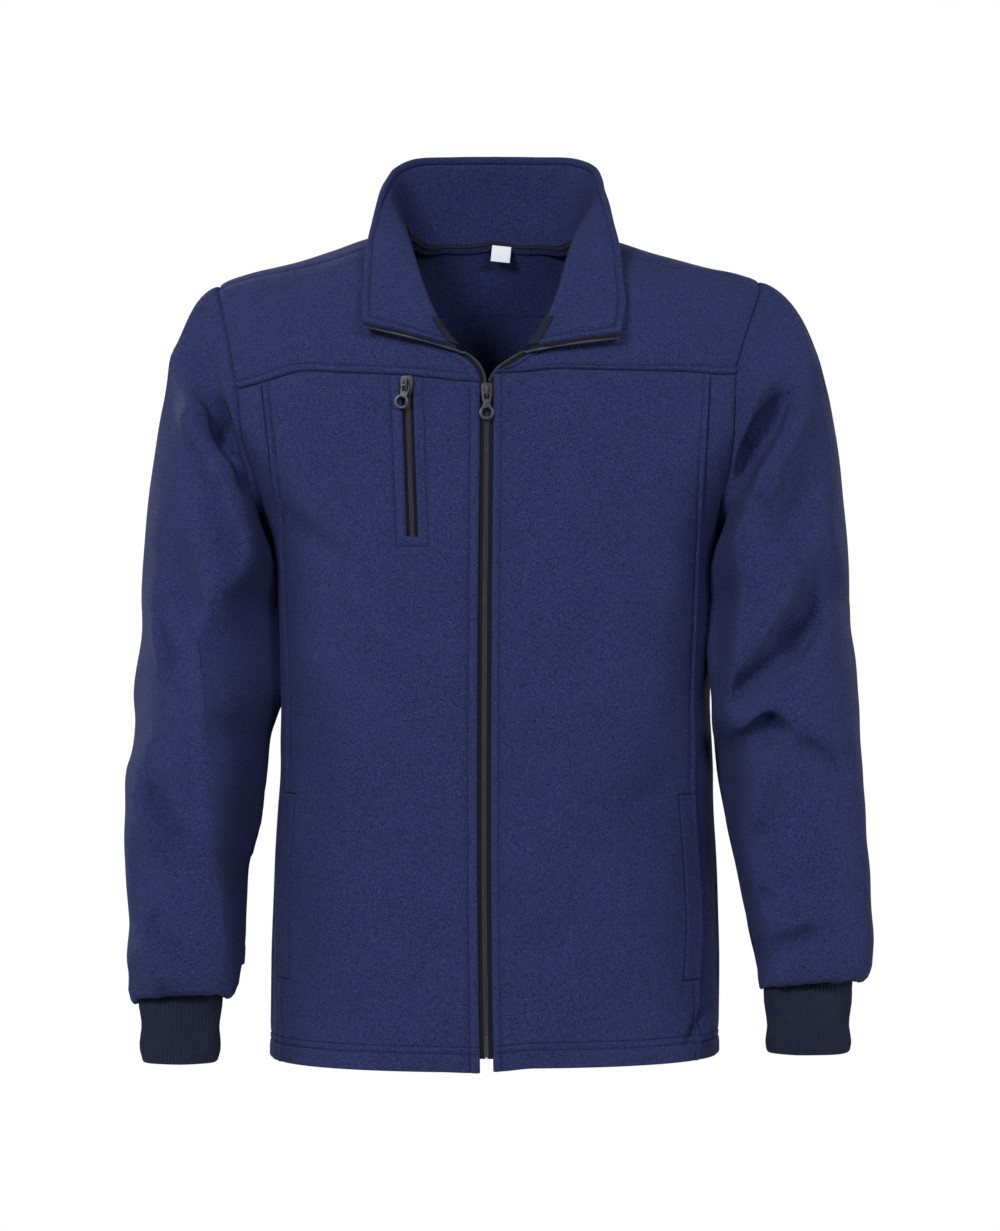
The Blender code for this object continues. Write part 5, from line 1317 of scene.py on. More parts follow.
# ------------------------------------------------------------------ sleeves
def sleeve_point(side, height, angle):
    """Angle 0 is outermost, 90 in front, 180 next to the body."""
    table, turn, power = sleeves[side], np.radians(angle), 2.0 / SLEEVE_SQUARE
    outer, inner = table("outer", height), table("inner", height)
    forward = table("half_depth", height) * signed_power(np.sin(turn), power)
    across = (outer - inner) / 2 * signed_power(np.cos(turn), power)
    x = (outer + inner) / 2 + across - table("shear", height) * forward
    return np.stack((SIDES[side] * x, table("middle", height) - forward, height + 0 * x), -1)


def cuff_point(side, height, angle, grow=0.0):
    angle, height, grow = np.broadcast_arrays(angle, height, grow)
    cuff, turn = CUFFS[side], np.radians(angle)
    x = cuff["across"] + (cuff["half"] + grow) * np.cos(turn)
    y = CUFF_MIDDLE - (CUFF_HALF_DEPTH + grow) * np.sin(turn)
    return np.stack((SIDES[side] * x, y, height), -1)


def ring_angles(ring):
    """Angles round a sleeve for the points of its armhole: 180 at the lowest, 0 at the highest."""
    path = lengths(np.concatenate((ring, ring[:1])))
    top = int(ring[:, 2].argmax())
    rising = 180 * (path[top] - path[:-1]) / path[top]
    falling = 360 - 180 * (path[:-1] - path[top]) / (path[-1] - path[top])
    return np.where(np.arange(len(ring)) <= top, rising, falling)


def sleeve_cap(side, ring, normals, target):
    """Rows of points from the armhole to the sleeve's first full section."""
    along = unit(np.roll(ring, -1, 0) - np.roll(ring, 1, 0))
    away = unit(np.cross(along, normals))
    outwards = np.array((SIDES[side], 0.0, CAP_UP))
    away = np.where((away @ outwards)[:, None] < 0, -away, away)
    z = ring[:, 2]
    high = smooth_step((z - z[0]) / (z.max() - z[0]))[:, None]
    leaving = unit(away * mix(*CAP_AWAY, high) + normals * mix(*CAP_OUT, high))
    run = np.linalg.norm(target - ring, axis=-1)[:, None]
    pull_start, pull_end = CAP_PULLS[side]
    first, falling = ring + away * SEAM_GAP, run * pull_end * np.array((0.0, 0.0, -1.0))
    t = (np.linspace(0, 1, CAP_ROWS) ** CAP_CROWD)[:-1][None, :, None]
    return hermite(t, first[:, None], (leaving * run * pull_start)[:, None],
                   target[:, None], falling[:, None])


def sleeve_end(side, angle, lowest):
    """Rows of points where the sleeve turns in over its cuff."""
    bottom = CUFFS[side]["bottom"]
    knots = np.array(SLEEVE_END)
    knots[0, 0] = lowest - bottom
    where = lengths(knots * np.array((1.0, END_TURN_IN)))
    at = np.linspace(0, 1, END_ROWS)
    over = np.interp(at, where / where[-1], knots[:, 0])
    share = np.interp(at, where / where[-1], knots[:, 1])
    wide = sleeve_point(side, lowest, angle[:, None] + 0 * at[None, :])
    narrow = cuff_point(side, bottom + over[None, :], angle[:, None], FLEECE + RIB_HEIGHT + CUFF_CLEAR)
    end = mix(wide, narrow, share[None, :, None])
    end[..., 2] = bottom + over[None, :]
    return end


def raise_end(side, points, turn, lowest):
    """The lower edge is higher in front and wavy."""
    front, outside = END_RISE[side]
    rise = front * smooth_step(np.sin(turn) * END_FRONT) + outside * np.cos(turn)
    rise = rise + END_WAVE * np.sin(END_WAVES * turn)
    points[..., 2] += rise * smooth_step((lowest + END_REACH - points[..., 2]) / END_REACH)


def press_sleeve(side, points, turn):
    """Turn the sleeve's inner front back, press its creases in and hold it in under the arm."""
    sign, table, turned = SIDES[side], sleeves[side], Curves(SLEEVE_TURN_COLUMNS, SLEEVE_TURN[side])
    z, line = points[..., 2], turned("line", points[..., 2])
    inside = np.maximum(line - table("inner", z), LEAST_TURN_WIDE)
    past = np.clip((line - sign * points[..., 0]) / inside, 0, 1)
    ahead = np.maximum(table("middle", z) - points[..., 1], LEAST_AHEAD)
    creases = crease_rise("sleeve_" + side, points, -np.sin(turn) + 0 * z)
    behind = crease_rise("sleeve_" + side, points + (0.0, 0.0, BEHIND_DROP), np.sin(turn) + 0 * z)
    from_armhole = np.linalg.norm(points - points[:, :1], axis=-1)
    grown = smooth_step(from_armhole / CREASE_GROWTH)
    creases *= grown
    moved = turned("depth", z) * past ** 2 * (2 - past)
    deep = moved + np.maximum(-creases, 0)
    # the cloth in front comes close to the sleeve's middle, but never past it
    points[..., 1] += (ahead * (1 - np.exp(-deep / ahead)) * (ahead > LEAST_AHEAD)
                       + TURN_SHARE[side] * moved)
    points[..., 1] += BEHIND_RISE * behind * grown - np.maximum(creases, 0)
    points[..., 0] += sign * TURN_OUT * TURN_SHARE[side] * moved
    held = smooth_step((-np.cos(turn) - PRESS_FROM) / (1 - PRESS_FROM))
    points[..., 0] -= sign * groove(z - ARM_PRESS_LEVEL, *ARM_PRESS) * held


def sleeve(side):
    ring, normals = armholes[side].loop(SLEEVE_GRID)
    angle = ring_angles(ring)
    turn = np.radians(angle)[:, None]
    level, lowest = sleeves[side].at.max(), sleeves[side].at.min()
    cap = sleeve_cap(side, ring, normals, sleeve_point(side, level, angle))
    z = np.linspace(level, lowest, int((level - lowest) / SLEEVE_GRID))[None, :-1]
    points = np.concatenate((cap, sleeve_point(side, z, angle[:, None]),
                             sleeve_end(side, angle, lowest)), 1)
    raise_end(side, points, turn, lowest)
    press_sleeve(side, points, turn)
    middle = points.mean(axis=0, keepdims=True)
    grid = Grid("sleeve_%s_cloth" % side, points, unit(points - middle), closed=True)
    from_armhole, plain_end, soft_end = SLEEVE_FADES
    ends = smooth_step(grid.low / from_armhole) * smooth_step((grid.high - plain_end) / soft_end)
    grid.folded = fold_rise(SLEEVE_FOLDS[side], points, grid.normals[..., 1]) * ends
    grid.folded += ripple("sleeve", points) * ends
    top, soft, foot = GATHER_ZONE
    gather = smooth_step((top - grid.high) / soft) * smooth_step(grid.high / foot)
    waves = sum(share * np.sin(turn * count + first) for count, first, share in GATHERS)
    grid.folded += GATHER_RISE * gather * waves
    grid.raised = plain_edge(grid.low)
    # at the armhole the cloth starts on the body's own surface
    blend = smooth_step(grid.low / ARMHOLE_BLEND)[..., None]
    grid.normals = unit(mix(normals[:, None], grid.normals, blend))
    grid.folded += body_folds(points, normals[:, None, 1]) * (1 - blend[..., 0])
    return grid.build("sleeve_" + side, edges=("low",))


def cuff(side):
    """Knitted tube, folded at its lower edge; its ribs run up and down."""
    low, high = CUFFS[side]["low"], CUFFS[side]["high"]
    angle = np.arange(CUFF_RIBS * RIB_POINTS)[:, None] * 360.0 / (CUFF_RIBS * RIB_POINTS)
    turn = np.radians(angle)
    folded = low + CUFF_FOLD * np.linspace(0, 1, CUFF_ROWS) ** 2
    z = np.concatenate((folded, np.linspace(low + CUFF_PLAIN, high, CUFF_ROWS)))[None, :]
    from_low = z - low
    flare, start, over = CUFF_FLARE
    grow = flare * smooth_step((from_low - start) / over)
    grow = grow - CUFF_TUCK * smooth_step((CUFF_FOLD - from_low) / CUFF_FOLD)
    round_off = CUFF_WALL / 2 * (1 - rounded_edge(from_low, CUFF_ROUND))
    wave = 0.5 + 0.5 * np.cos(turn * CUFF_RIBS)
    grown = smooth_step(from_low / RIB_START[0] + RIB_START[1])
    rib = RIB_HEIGHT * RIB_SHAPE[0] * wave ** RIB_SHAPE[1] * grown
    count, first, top, soft = CUFF_EDGE_WAVE
    sag = CUFF_SAG * np.sin(turn * count + first) * smooth_step((top - from_low) / soft)
    for count, slant in CUFF_TWISTS:
        sag = sag + CUFF_SAG * np.sin(turn * count + z * slant)
    grid = Grid("cuff_%s_knit" % side, cuff_point(side, z, angle), np.array((0.0, 0.0, 1.0)), True)
    grid.outer = cuff_point(side, z, angle, grow + rib - round_off + sag)
    grid.inner = cuff_point(side, z, angle, grow - CUFF_WALL + round_off * INNER_ROUND + sag)
    grid.cover(knit, "cuff_" + side)


# ------------------------------------------------------------------- collar
def neck_seam():
    """(x, turn) along the whole neck seam, from the right front end to the left one."""
    heights = np.linspace(NECK_SEAM_END, 0.0, NECK_STEPS)[:-1]
    fronts = {}
    for side in SIDES:
        x = SIDES[side] * neck_front(side, heights)
        fronts[side] = np.stack((x, turn_at(x, heights)), -1)
    return np.concatenate((fronts["right"], neck_back_points(), fronts["left"][::-1]))


class Collar:
    """The middle surface between the collar's two layers."""

    def __init__(self):
        coarse = neck_seam()
        seam = over_shoulder(coarse[:, 0], coarse[:, 1])
        where = lengths(seam)
        self.length = where[-1]
        zones = [(0, COLLAR_ZONE), (self.length - COLLAR_ZONE, self.length)]
        self.at = stations(self.length, COLLAR_GRID, zones) * self.length
        curve = Curves(("at", "x", "turn"), np.column_stack((where, coarse)))
        x, turn = curve("x", self.at), curve("turn", self.at)
        points, normals = over_shoulder(x, turn), shoulder_facing(x, turn)
        stand = self.stand(points, normals, x)
        # where the neck seam crosses the middle of the back
        back = where[np.argmin(np.abs(coarse[:, 0]) + np.where(seam[:, 1] > 0, 0, np.inf))]
        right = self.at < back
        share = np.where(right, (back - self.at) / back, (self.at - back) / (self.length - back))
        self.top = np.stack([np.where(right, collars["right"](name, share), collars["left"](name, share))
                             for name in COLLAR_COLUMNS[1:]], -1)
        self.top[:, 0] *= np.where(right, -1.0, 1.0)
        self.tail, self.foot = stand - normals * COLLAR_TAIL, stand + normals * COLLAR_FOOT
        self.roll = stand + normals * mix(*COLLAR_ROLL, share)[:, None]
        shares = stations(COLLAR_TALL, COLLAR_GRID, COLLAR_ROW_ZONES)
        evenly = []
        for line in self.rise(np.linspace(0, 1, COLLAR_SAMPLES)):
            where = lengths(line)
            evenly.append(columns_at(shares * where[-1], where, line))
        tail = mix(self.tail[:, None], self.foot[:, None], np.array(TAIL_ROWS)[None, :, None])
        self.points = np.concatenate((tail, np.array(evenly)), 1)
        self.normals = grid_facing(self.points, COLLAR_MIDDLE - self.points)

    def stand(self, points, normals, x):
        """Points under the collar's middle, a little inside the neck's edge."""
        inwards = unit(np.cross(normals, unit(np.gradient(points, axis=0))))
        outwards = np.sum(inwards * (COLLAR_MIDDLE - points), -1, keepdims=True) < 0
        stand = points + np.where(outwards, -inwards, inwards) * COLLAR_SETBACK
        (x_from, x_soft), (y_from, y_soft) = NECK_DROP_FROM
        beside = smooth_step((np.abs(x) - x_from) / x_soft) * smooth_step((stand[:, 1] - y_from) / y_soft)
        stand[:, 2] -= NECK_SIDE_DROP * beside
        return stand

    def rise(self, h):
        """Lines from the foot over the roll to the top, at parameters from 0 to 1."""
        h = h[None, :, None]
        return ((1 - h) ** 2 * self.foot[:, None] + 2 * h * (1 - h) * self.roll[:, None]
                + h**2 * self.top[:, None])


def collar_layer(name, sign):
    """One of the collar's layers, on the inner (+1) or the outer side (-1) of its middle surface."""
    grid = Grid(name + "_cloth", collar.points, collar.normals)
    edge = np.minimum(grid.high, np.minimum(grid.start, grid.end))
    rounded = rounded_edge(edge, COLLAR_ROUND)
    soft = ripple("collar", collar.points) * smooth_step(edge / COLLAR_CALM[0])
    soft = soft * smooth_step(grid.low / COLLAR_CALM[1])
    relief = band(edge, STITCHED, COLLAR_LIFT) + stitched_row(edge - COLLAR_STITCH)
    relief += puff(edge, COLLAR_STITCH, COLLAR_PUFF) - groove(grid.low - COLLAR_TAIL, *FOOT_GROOVE)
    out = COLLAR_CORE + COLLAR_LAYER * np.maximum(rounded, LEAST_ROUND) + relief * rounded
    grid.outer = grid.points + grid.normals * (sign * out + soft)[..., None]
    grid.inner = grid.points + grid.normals * (sign * LAYER_GAP + soft)[..., None]
    grid.normals = grid.normals * sign
    grid.cover(fleece, name)
    return grid


# ---------------------------------------------------------------- neck parts
def neck_tape(name, columns, top):
    """Woven tape over the neck seam, inside the collar."""
    near = COLLAR_LAYER + 3 * SEAM_GAP
    rows = collar.rise(np.linspace(0, top, NECK_TAPE_ROWS))
    points = np.concatenate((collar.tail[:, None], rows), 1)[columns]
    grid = Grid(name + "_woven", points, COLLAR_MIDDLE - points)
    wrinkle = WRINKLE * np.sin(np.arange(len(points)) * WRINKLE_STEP)[:, None]
    wrinkle = wrinkle * np.linspace(0, 1, points.shape[1])
    grid.outer = points + grid.normals * (near + TAPE_THICK + wrinkle)[..., None]
    grid.inner = points + grid.normals * (near + wrinkle)[..., None]
    grid.cover(binding, name)


def neck_tapes():
    behind = np.flatnonzero(collar.foot[:, 1] > NECK_TAPE_FRONT)
    neck_tape("neck_tape", slice(behind[0], behind[-1] + 1), TAPE_TALL["behind"])
    right_end = int(np.argmax(collar.at > NECK_TAPE_END))
    left_end = int(np.argmax(collar.at > collar.length - NECK_TAPE_END))
    neck_tape("neck_tape_end_right", slice(0, right_end), TAPE_TALL["end"])
    neck_tape("neck_tape_end_left", slice(left_end, len(collar.at)), TAPE_TALL["end"])


def rounded_piece(name, cad_piece, material, body_name, radius, segments=3):
    """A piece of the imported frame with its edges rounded, on the same body."""
    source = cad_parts[cad_piece]
    thing = bpy.data.objects.new(name, source.data.copy())
    bpy.context.scene.collection.objects.link(thing)
    weld = thing.modifiers.new("weld", "WELD")
    weld.merge_threshold = WELD
    rounded = thing.modifiers.new("rounded", "BEVEL")
    rounded.width, rounded.segments = radius * MM, segments
    rounded.limit_method, rounded.angle_limit = "ANGLE", math.radians(ROUND_OVER)
    rounded.harden_normals = False
    shape = bpy.data.meshes.new_from_object(thing.evaluated_get(bpy.context.evaluated_depsgraph_get()))
    thing.modifiers.clear()
    thing.data = shape
    shape.name = name
    shape.materials.clear()
    shape.materials.append(material)
    shape.shade_smooth()
    shape.set_sharp_from_angle(angle=math.radians(SHARP_OVER))
    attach(thing, body_name)
    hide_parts(cad_piece)


# --------------------------------------------------------------------- zips
def under_front(x, z, sunk):
    """Points at a depth under the folded front, with their normals."""
    angle = angle_at(x, z)
    points, normals = body_point(angle, z), body_facing(angle, z)
    rise = fold_rise(BODY_FOLDS, points, normals[:, 1])
    return points + normals * (rise - sunk)[:, None], normals


def tape_edges(side):
    """Free and hidden edges of one half of the front zip's tape, with the way it faces."""
    sign, sunk = SIDES[side], FLEECE + TAPE_SINK
    z = np.concatenate((np.linspace(ZIP_END, *TAPE_ROWS), TAPE_UPPER_ROWS))
    middle = zip_line("across", z)
    low_free, _ = under_front(middle + sign * COIL_HALF, z, sunk)
    low_hidden, low_normals = under_front(middle + sign * (ZIP_OPENING / 2 + TAPE_HIDDEN), z, sunk)
    z = mix(yoke_seam(side, abs(front_edge(side, YOKE_LEVEL))), NECK_SEAM_END, np.array(TAPE_OPEN_ROWS))
    x, x_next = sign * neck_front(side, z), sign * neck_front(side, z + TAPE_STEP)
    points, normals = over_shoulder(x, turn_at(x, z)), shoulder_facing(x, turn_at(x, z))
    along = unit(over_shoulder(x_next, turn_at(x_next, z + TAPE_STEP)) - points)
    out = unit(np.cross(along, normals))
    out = np.where(out[:, :1] * sign > 0, -out, out)
    free = np.concatenate((low_free, points + out * TAPE_LIP - normals * sunk))
    hidden = np.concatenate((low_hidden, points - out * TAPE_HIDDEN * TAPE_OPEN_HIDDEN - normals * sunk))
    at = np.linspace(0, 1, TAPE_COLUMNS)
    normals = unit(smooth_run(np.concatenate((low_normals, normals)), at))
    return smooth_run(free, at), smooth_run(hidden, at), normals


def tape(node_name, edge_a, edge_b, normals):
    """Woven strip between two edges, its face on the side of the normals."""
    share = np.linspace(0, 1, TAPE_ACROSS)[None, :, None]
    strip = mix(edge_a[:, None], edge_b[:, None], share)
    grid = Grid(node_name + "_woven", strip, normals[:, None] + 0 * strip)
    grid.outer, grid.inner = strip, strip - normals[:, None] * TAPE_THICK
    grid.cover(woven, node_name)


def collar_tape_edges(side):
    """The tape's lip along the collar's front edge, from its foot to the tip."""
    k, inner = (0, 3) if side == "right" else (-1, -4)
    edge, beside, face = collar.points[k, 2:], collar.points[inner, 2:], collar.normals[k, 2:]
    out = unit(edge - beside)
    base = edge + face * TAPE_THICK / 2
    return base + out * (TAPE_LIP + SEAM_GAP), base + out * SEAM_GAP, face, out


def tube_faces(rings, sides):
    """Faces of a closed tube whose points run round one ring after another."""
    faces = []
    for ring in range(rings - 1):
        for k in range(sides):
            a, b = ring * sides + k, ring * sides + (k + 1) % sides
            faces.append([a, b, b + sides, a + sides])
    first, last = range(sides), range((rings - 1) * sides, rings * sides)
    return faces + [list(reversed(first)), list(last)]


def beads(name, places):
    """Loops of a zip's coil. A place is (point, the loop's long way, the way it faces)."""
    turn = np.linspace(0, 2 * math.pi, BEAD_SIDES, endpoint=False)
    rings = [np.stack((np.full(BEAD_SIDES, along), np.cos(turn) * size, np.sin(turn) * size), -1)
             for along, size in BEAD_RINGS]
    bead, tube = np.concatenate(rings), tube_faces(len(rings), BEAD_SIDES)
    points, faces = [], []
    for place, way, face in places:
        up = unit(np.cross(face, way))
        start = len(points) * len(bead)
        points.append(place + bead[:, :1] * way * BEAD[0] + bead[:, 1:2] * up * BEAD[1]
                      + bead[:, 2:] * face * BEAD[2])
        faces += [[i + start for i in f] for f in tube]
    piece(name, np.concatenate(points), faces, nylon)


def chain(z_low, z_high, across, sunk):
    """Places of the loops of a closed zip between two heights, left and right in turn."""
    places = []
    for k in range(int((z_high - z_low) / (COIL_PITCH / 2))):
        z = z_low + k * COIL_PITCH / 2
        base, normal = (found[0] for found in under_front(np.array([across(z)]), np.array([z]), sunk))
        sign = 1.0 if k % 2 else -1.0
        way = unit(np.array((-sign * abs(normal[1]), sign * normal[0] * np.sign(-normal[1]), 0.0)))
        places.append((base - way * COIL_SIDE, way, normal))
    return places


def along_edge(edge, out, normals, start=0.0):
    """Places of the loops along an open edge."""
    total = lengths(edge)[-1]
    at = np.arange(start * total, total, COIL_PITCH) / total
    points, ways = smooth_run(edge, at), unit(smooth_run(out, at))
    faces = unit(smooth_run(normals, at))
    return [(p + f * COIL_LIFT, w, f) for p, w, f in zip(points, ways, faces)]


def front_zip():
    open_places = []
    for side in SIDES:
        free, hidden, normals = tape_edges(side)
        tape("zip_tape_" + side, free, hidden, normals)
        start = np.argmax(free[:, 2] > ZIP_SLIDER_HEIGHT + SLIDER_REACH["above"])
        out = unit(free - hidden)
        open_places += along_edge(free[start:], out[start:], normals[start:])
        lip, near, face, lip_out = collar_tape_edges(side)
        tape("collar_zip_tape_" + side, lip, near, face)
        # the coil runs on from the front's tape to the collar's
        open_places += along_edge(np.concatenate((free[-1:], lip)), np.concatenate((out[-1:], lip_out)),
                                  np.concatenate((normals[-1:], face)), COIL_JOIN)
    beads("front_coil_open", open_places)
    beads("front_coil", chain(ZIP_END + COIL_START, ZIP_SLIDER_HEIGHT - SLIDER_REACH["below"],
                              lambda z: zip_line("across", z), FLEECE + TAPE_SINK - COIL_OUT["front"]))


def pocket_zip():
    z = np.linspace(POCKET_BOTTOM - POCKET_TAPE_OVER, POCKET_TOP - POCKET_TAPE_SHORT, POCKET_TAPE_ROWS)
    middle = pocket_middle(z)
    edges = [under_front(middle + off, z, FLEECE + TAPE_SINK)[0]
             for off in (-POCKET_TAPE_HALF, POCKET_TAPE_HALF)]
    tape("pocket_zip_tape", *edges, body_facing(angle_at(middle, z), z))
    top = POCKET_SLIDER_HEIGHT - SLIDER_REACH["pocket"]
    beads("pocket_coil", chain(POCKET_BOTTOM - POCKET_COIL_OVER, top, pocket_middle,
                               FLEECE + TAPE_SINK - COIL_OUT["pocket"]))


# ----------------------------------------------------------------- stitching
def stitches(name, runs):
    """Short raised threads in rows. A run is (points, normals) along a row."""
    ring = np.linspace(0, 2 * math.pi, STITCH_SIDES, endpoint=False)
    shares = np.array([share for share, size, lift in STITCH_RINGS])
    tube = tube_faces(len(STITCH_RINGS), STITCH_SIDES)
    points, faces = [], []
    for line, normals in runs:
        if len(line) < 3:
            continue
        where = lengths(line)
        for start in np.arange(FIRST_STITCH, where[-1] - STITCH, STITCH + STITCH_GAP):
            at = start + STITCH * shares
            spots, ways = columns_at(at, where, line), unit(columns_at(at, where, normals))
            besides = unit(np.cross(unit(spots[-1] - spots[0]), ways))
            base = len(points) * len(STITCH_RINGS) * STITCH_SIDES
            thread_points = []
            for (_, size, lift), spot, way, beside in zip(STITCH_RINGS, spots, ways, besides):
                for a in ring:
                    off = beside * math.cos(a) * THREAD_FLAT + way * math.sin(a)
                    thread_points.append(spot + way * lift + off * size * THREAD)
            points.append(thread_points)
            faces += [[i + base for i in f] for f in tube]
    # the threads' material is painted dark: painted shade of the stitching's grooves over the thread's
    # own navy
    piece(name, np.concatenate(points), faces, shaded_thread)


def part_of(run, low, high):
    """The part of a run that lies between two heights."""
    points, normals = run
    chosen = (points[:, 2] > low) & (points[:, 2] < high)
    return points[chosen], normals[chosen]


def topstitching():
    runs = []
    for side in SIDES:
        front, yoke, wide = panels["front_" + side], yokes[side], EDGE_STITCH[side]
        runs.append(front.line("start", wide))
        runs.append(part_of(front.line("end", STITCHED), -np.inf, HAND_POCKET[0] - POCKET_ROW_GAP))
        runs.append(part_of(front.line("end", STITCHED), HAND_POCKET[1] + POCKET_ROW_GAP, np.inf))
        runs.append(yoke.line("low", STITCHED))
        runs.append(part_of(yoke.line("start", wide), -np.inf, NECK_SEAM_END))
    for name in ("front_right", "front_left", "side_right", "side_left", "back"):
        runs += [panels[name].line("low", row) for row in HEM_STITCHES]
    runs.append(yokes["back"].line("low", STITCHED))
    for layer in collar_layers:
        runs += [layer.line(edge, COLLAR_STITCH) for edge in ("high", "start", "end")]
    stitches("topstitching", runs)


# ----------------------------------------------------------------- materials
def node(tree, kind, **values):
    made = tree.nodes.new(kind)
    for key, value in values.items():
        if key in made.inputs:
            made.inputs[key].default_value = value
        else:
            setattr(made, key, value)
    return made


def noise(tree, scale, roughness=0.5):
    """Uneven values, fixed to the piece."""
    made = node(tree, "ShaderNodeTexNoise", Scale=scale, Detail=2.0, Roughness=roughness)
    tree.links.new(tree.nodes.new("ShaderNodeTexCoord").outputs["Object"], made.inputs["Vector"])
    return made.outputs["Fac"]


def rows_of_thread(tree, scale, direction):
    """Rows of fine threads, fixed to the piece."""
    made = node(tree, "ShaderNodeTexWave", Scale=scale, Distortion=WEAVE_WANDER,
                bands_direction=direction)
    tree.links.new(tree.nodes.new("ShaderNodeTexCoord").outputs["Object"], made.inputs["Vector"])
    return made.outputs["Fac"]


def multiply_add(tree, value, factor, plus):
    """value * factor + plus, where plus is a number or another socket."""
    made = node(tree, "ShaderNodeMath", operation="MULTIPLY_ADD")
    tree.links.new(value, made.inputs[0])
    made.inputs[1].default_value = factor
    if isinstance(plus, float):
        made.inputs[2].default_value = plus
    else:
        tree.links.new(plus, made.inputs[2])
    return made.outputs[0]


def cloth_group(name, surface, strength):
    """A group that turns two colours and a depth of grain into a colour and a normal.

    Its surface function gives the mask that mixes the colours, and the height that the bump reads.
    """
    tree = bpy.data.node_groups.new(name, "ShaderNodeTree")
    for socket, way, kind in (("Deep", "INPUT", "Color"), ("Bright", "INPUT", "Color"),
                              ("Grain", "INPUT", "Float"), ("Color", "OUTPUT", "Color"),
                              ("Normal", "OUTPUT", "Vector")):
        tree.interface.new_socket(socket, in_out=way, socket_type="NodeSocket" + kind)
    given, made = tree.nodes.new("NodeGroupInput"), tree.nodes.new("NodeGroupOutput")
    mask, height = surface(tree)
    blend = node(tree, "ShaderNodeMix", data_type="RGBA")
    bump = node(tree, "ShaderNodeBump", Strength=strength)
    for start, end in ((mask, blend.inputs["Factor"]), (given.outputs["Deep"], blend.inputs[FIRST_COLOR]),
                       (given.outputs["Bright"], blend.inputs[SECOND_COLOR]),
                       (blend.outputs[MIXED_COLOR], made.inputs["Color"]),
                       (given.outputs["Grain"], bump.inputs["Distance"]),
                       (height, bump.inputs["Height"]), (bump.outputs["Normal"], made.inputs["Normal"])):
        tree.links.new(start, end)
    return tree


def brushed_pile(tree):
    """Brushed pile: fine fibres, mottled in small spots and a little over large ones."""
    fibres, mottle = noise(tree, FIBRES, PILE_ROUGH), noise(tree, MOTTLE, PILE_ROUGH)
    broad = multiply_add(tree, noise(tree, BROAD), BROAD_SHARE, PILE_SHIFT)
    total = multiply_add(tree, fibres, 1.0, multiply_add(tree, mottle, MOTTLE_SHARE, broad))
    spread = node(tree, "ShaderNodeMapRange", **dict(zip(("From Min", "From Max"), PILE_RANGE)))
    tree.links.new(total, spread.inputs["Value"])
    return spread.outputs[0], multiply_add(tree, mottle, MOTTLE_HEIGHT, fibres)


def crossing_threads(tree):
    """Fine crossing threads."""
    both = node(tree, "ShaderNodeMath", operation="MULTIPLY")
    tree.links.new(rows_of_thread(tree, WEAVE_UP, "Z"), both.inputs[0])
    tree.links.new(rows_of_thread(tree, WEAVE_ACROSS, "X"), both.inputs[1])
    return both.outputs[0], both.outputs[0]


def new_material(name):
    """An empty material, with its node tree and its shader."""
    material = bpy.data.materials.new(name)
    material.use_nodes = True
    tree = material.node_tree
    return material, tree, tree.nodes["Principled BSDF"]


def cloth_material(name, group, deep, bright, grain, sheen, tint):
    material, tree, shader = new_material(name)
    effect = tree.nodes.new("ShaderNodeGroup")
    effect.node_tree = group
    effect.inputs["Deep"].default_value = (*deep, 1.0)
    effect.inputs["Bright"].default_value = (*bright, 1.0)
    effect.inputs["Grain"].default_value = grain
    tree.links.new(effect.outputs["Color"], shader.inputs["Base Color"])
    tree.links.new(effect.outputs["Normal"], shader.inputs["Normal"])
    shader.inputs["Roughness"].default_value = 0.95
    shader.inputs["Specular IOR Level"].default_value = 0.15
    shader.inputs["Sheen Weight"].default_value = sheen
    shader.inputs["Sheen Roughness"].default_value = 0.45
    shader.inputs["Sheen Tint"].default_value = (*tint, 1.0)
    return material


def hard_material(name, color, roughness, shine):
    material, tree, shader = new_material(name)
    wear = noise(tree, WEAR)
    blend = node(tree, "ShaderNodeMix", data_type="RGBA")
    for socket, shade in zip((FIRST_COLOR, SECOND_COLOR), WEAR_SHADES):
        blend.inputs[socket].default_value = (*[c * shade for c in color], 1.0)
    bump = node(tree, "ShaderNodeBump", **WEAR_BUMP)
    for start, end in ((wear, blend.inputs["Factor"]), (wear, bump.inputs["Height"]),
                       (blend.outputs[MIXED_COLOR], shader.inputs["Base Color"]),
                       (bump.outputs["Normal"], shader.inputs["Normal"])):
        tree.links.new(start, end)
    shader.inputs["Roughness"].default_value = roughness
    shader.inputs["Specular IOR Level"].default_value = shine
    return material


pile = cloth_group("brushed_pile", brushed_pile, 1.0)
threads = cloth_group("woven_threads", crossing_threads, 0.7)
fleece = cloth_material("navy_fleece", pile, deep=(0.005, 0.007, 0.030), bright=(0.038, 0.049, 0.184),
                        grain=0.003, sheen=0.05, tint=NAVY_SHEEN)
knit = cloth_material("navy_knit", pile, deep=(0.004, 0.005, 0.013), bright=(0.014, 0.017, 0.042),
                      grain=0.0005, sheen=0.03, tint=NAVY_SHEEN)
# The stitching thread is really about the fleece's own navy. Its colours here are painted much darker, as
# painted shade of the grooves the stitches sink into.
shaded_thread = cloth_material("navy_thread_painted_shade", pile, deep=(0.003, 0.004, 0.016), bright=(0.010, 0.012, 0.044),
                        grain=0.0001, sheen=0.0, tint=NAVY_SHEEN)
woven = cloth_material("zip_tape_weave", threads, deep=(0.003, 0.003, 0.0055),
                       bright=(0.010, 0.010, 0.019), grain=0.0003, sheen=0.03, tint=PALE_SHEEN)
binding = cloth_material("neck_tape_weave", threads, deep=(0.004, 0.005, 0.011),
                         bright=(0.013, 0.015, 0.031), grain=0.0003, sheen=0.03, tint=PALE_SHEEN)
satin = cloth_material("label_satin", threads, deep=(0.46, 0.46, 0.51), bright=(0.60, 0.60, 0.65),
                       grain=0.00006, sheen=0.1, tint=WHITE)
nylon = hard_material("coil_nylon", (0.006, 0.006, 0.012), roughness=0.38, shine=0.45)
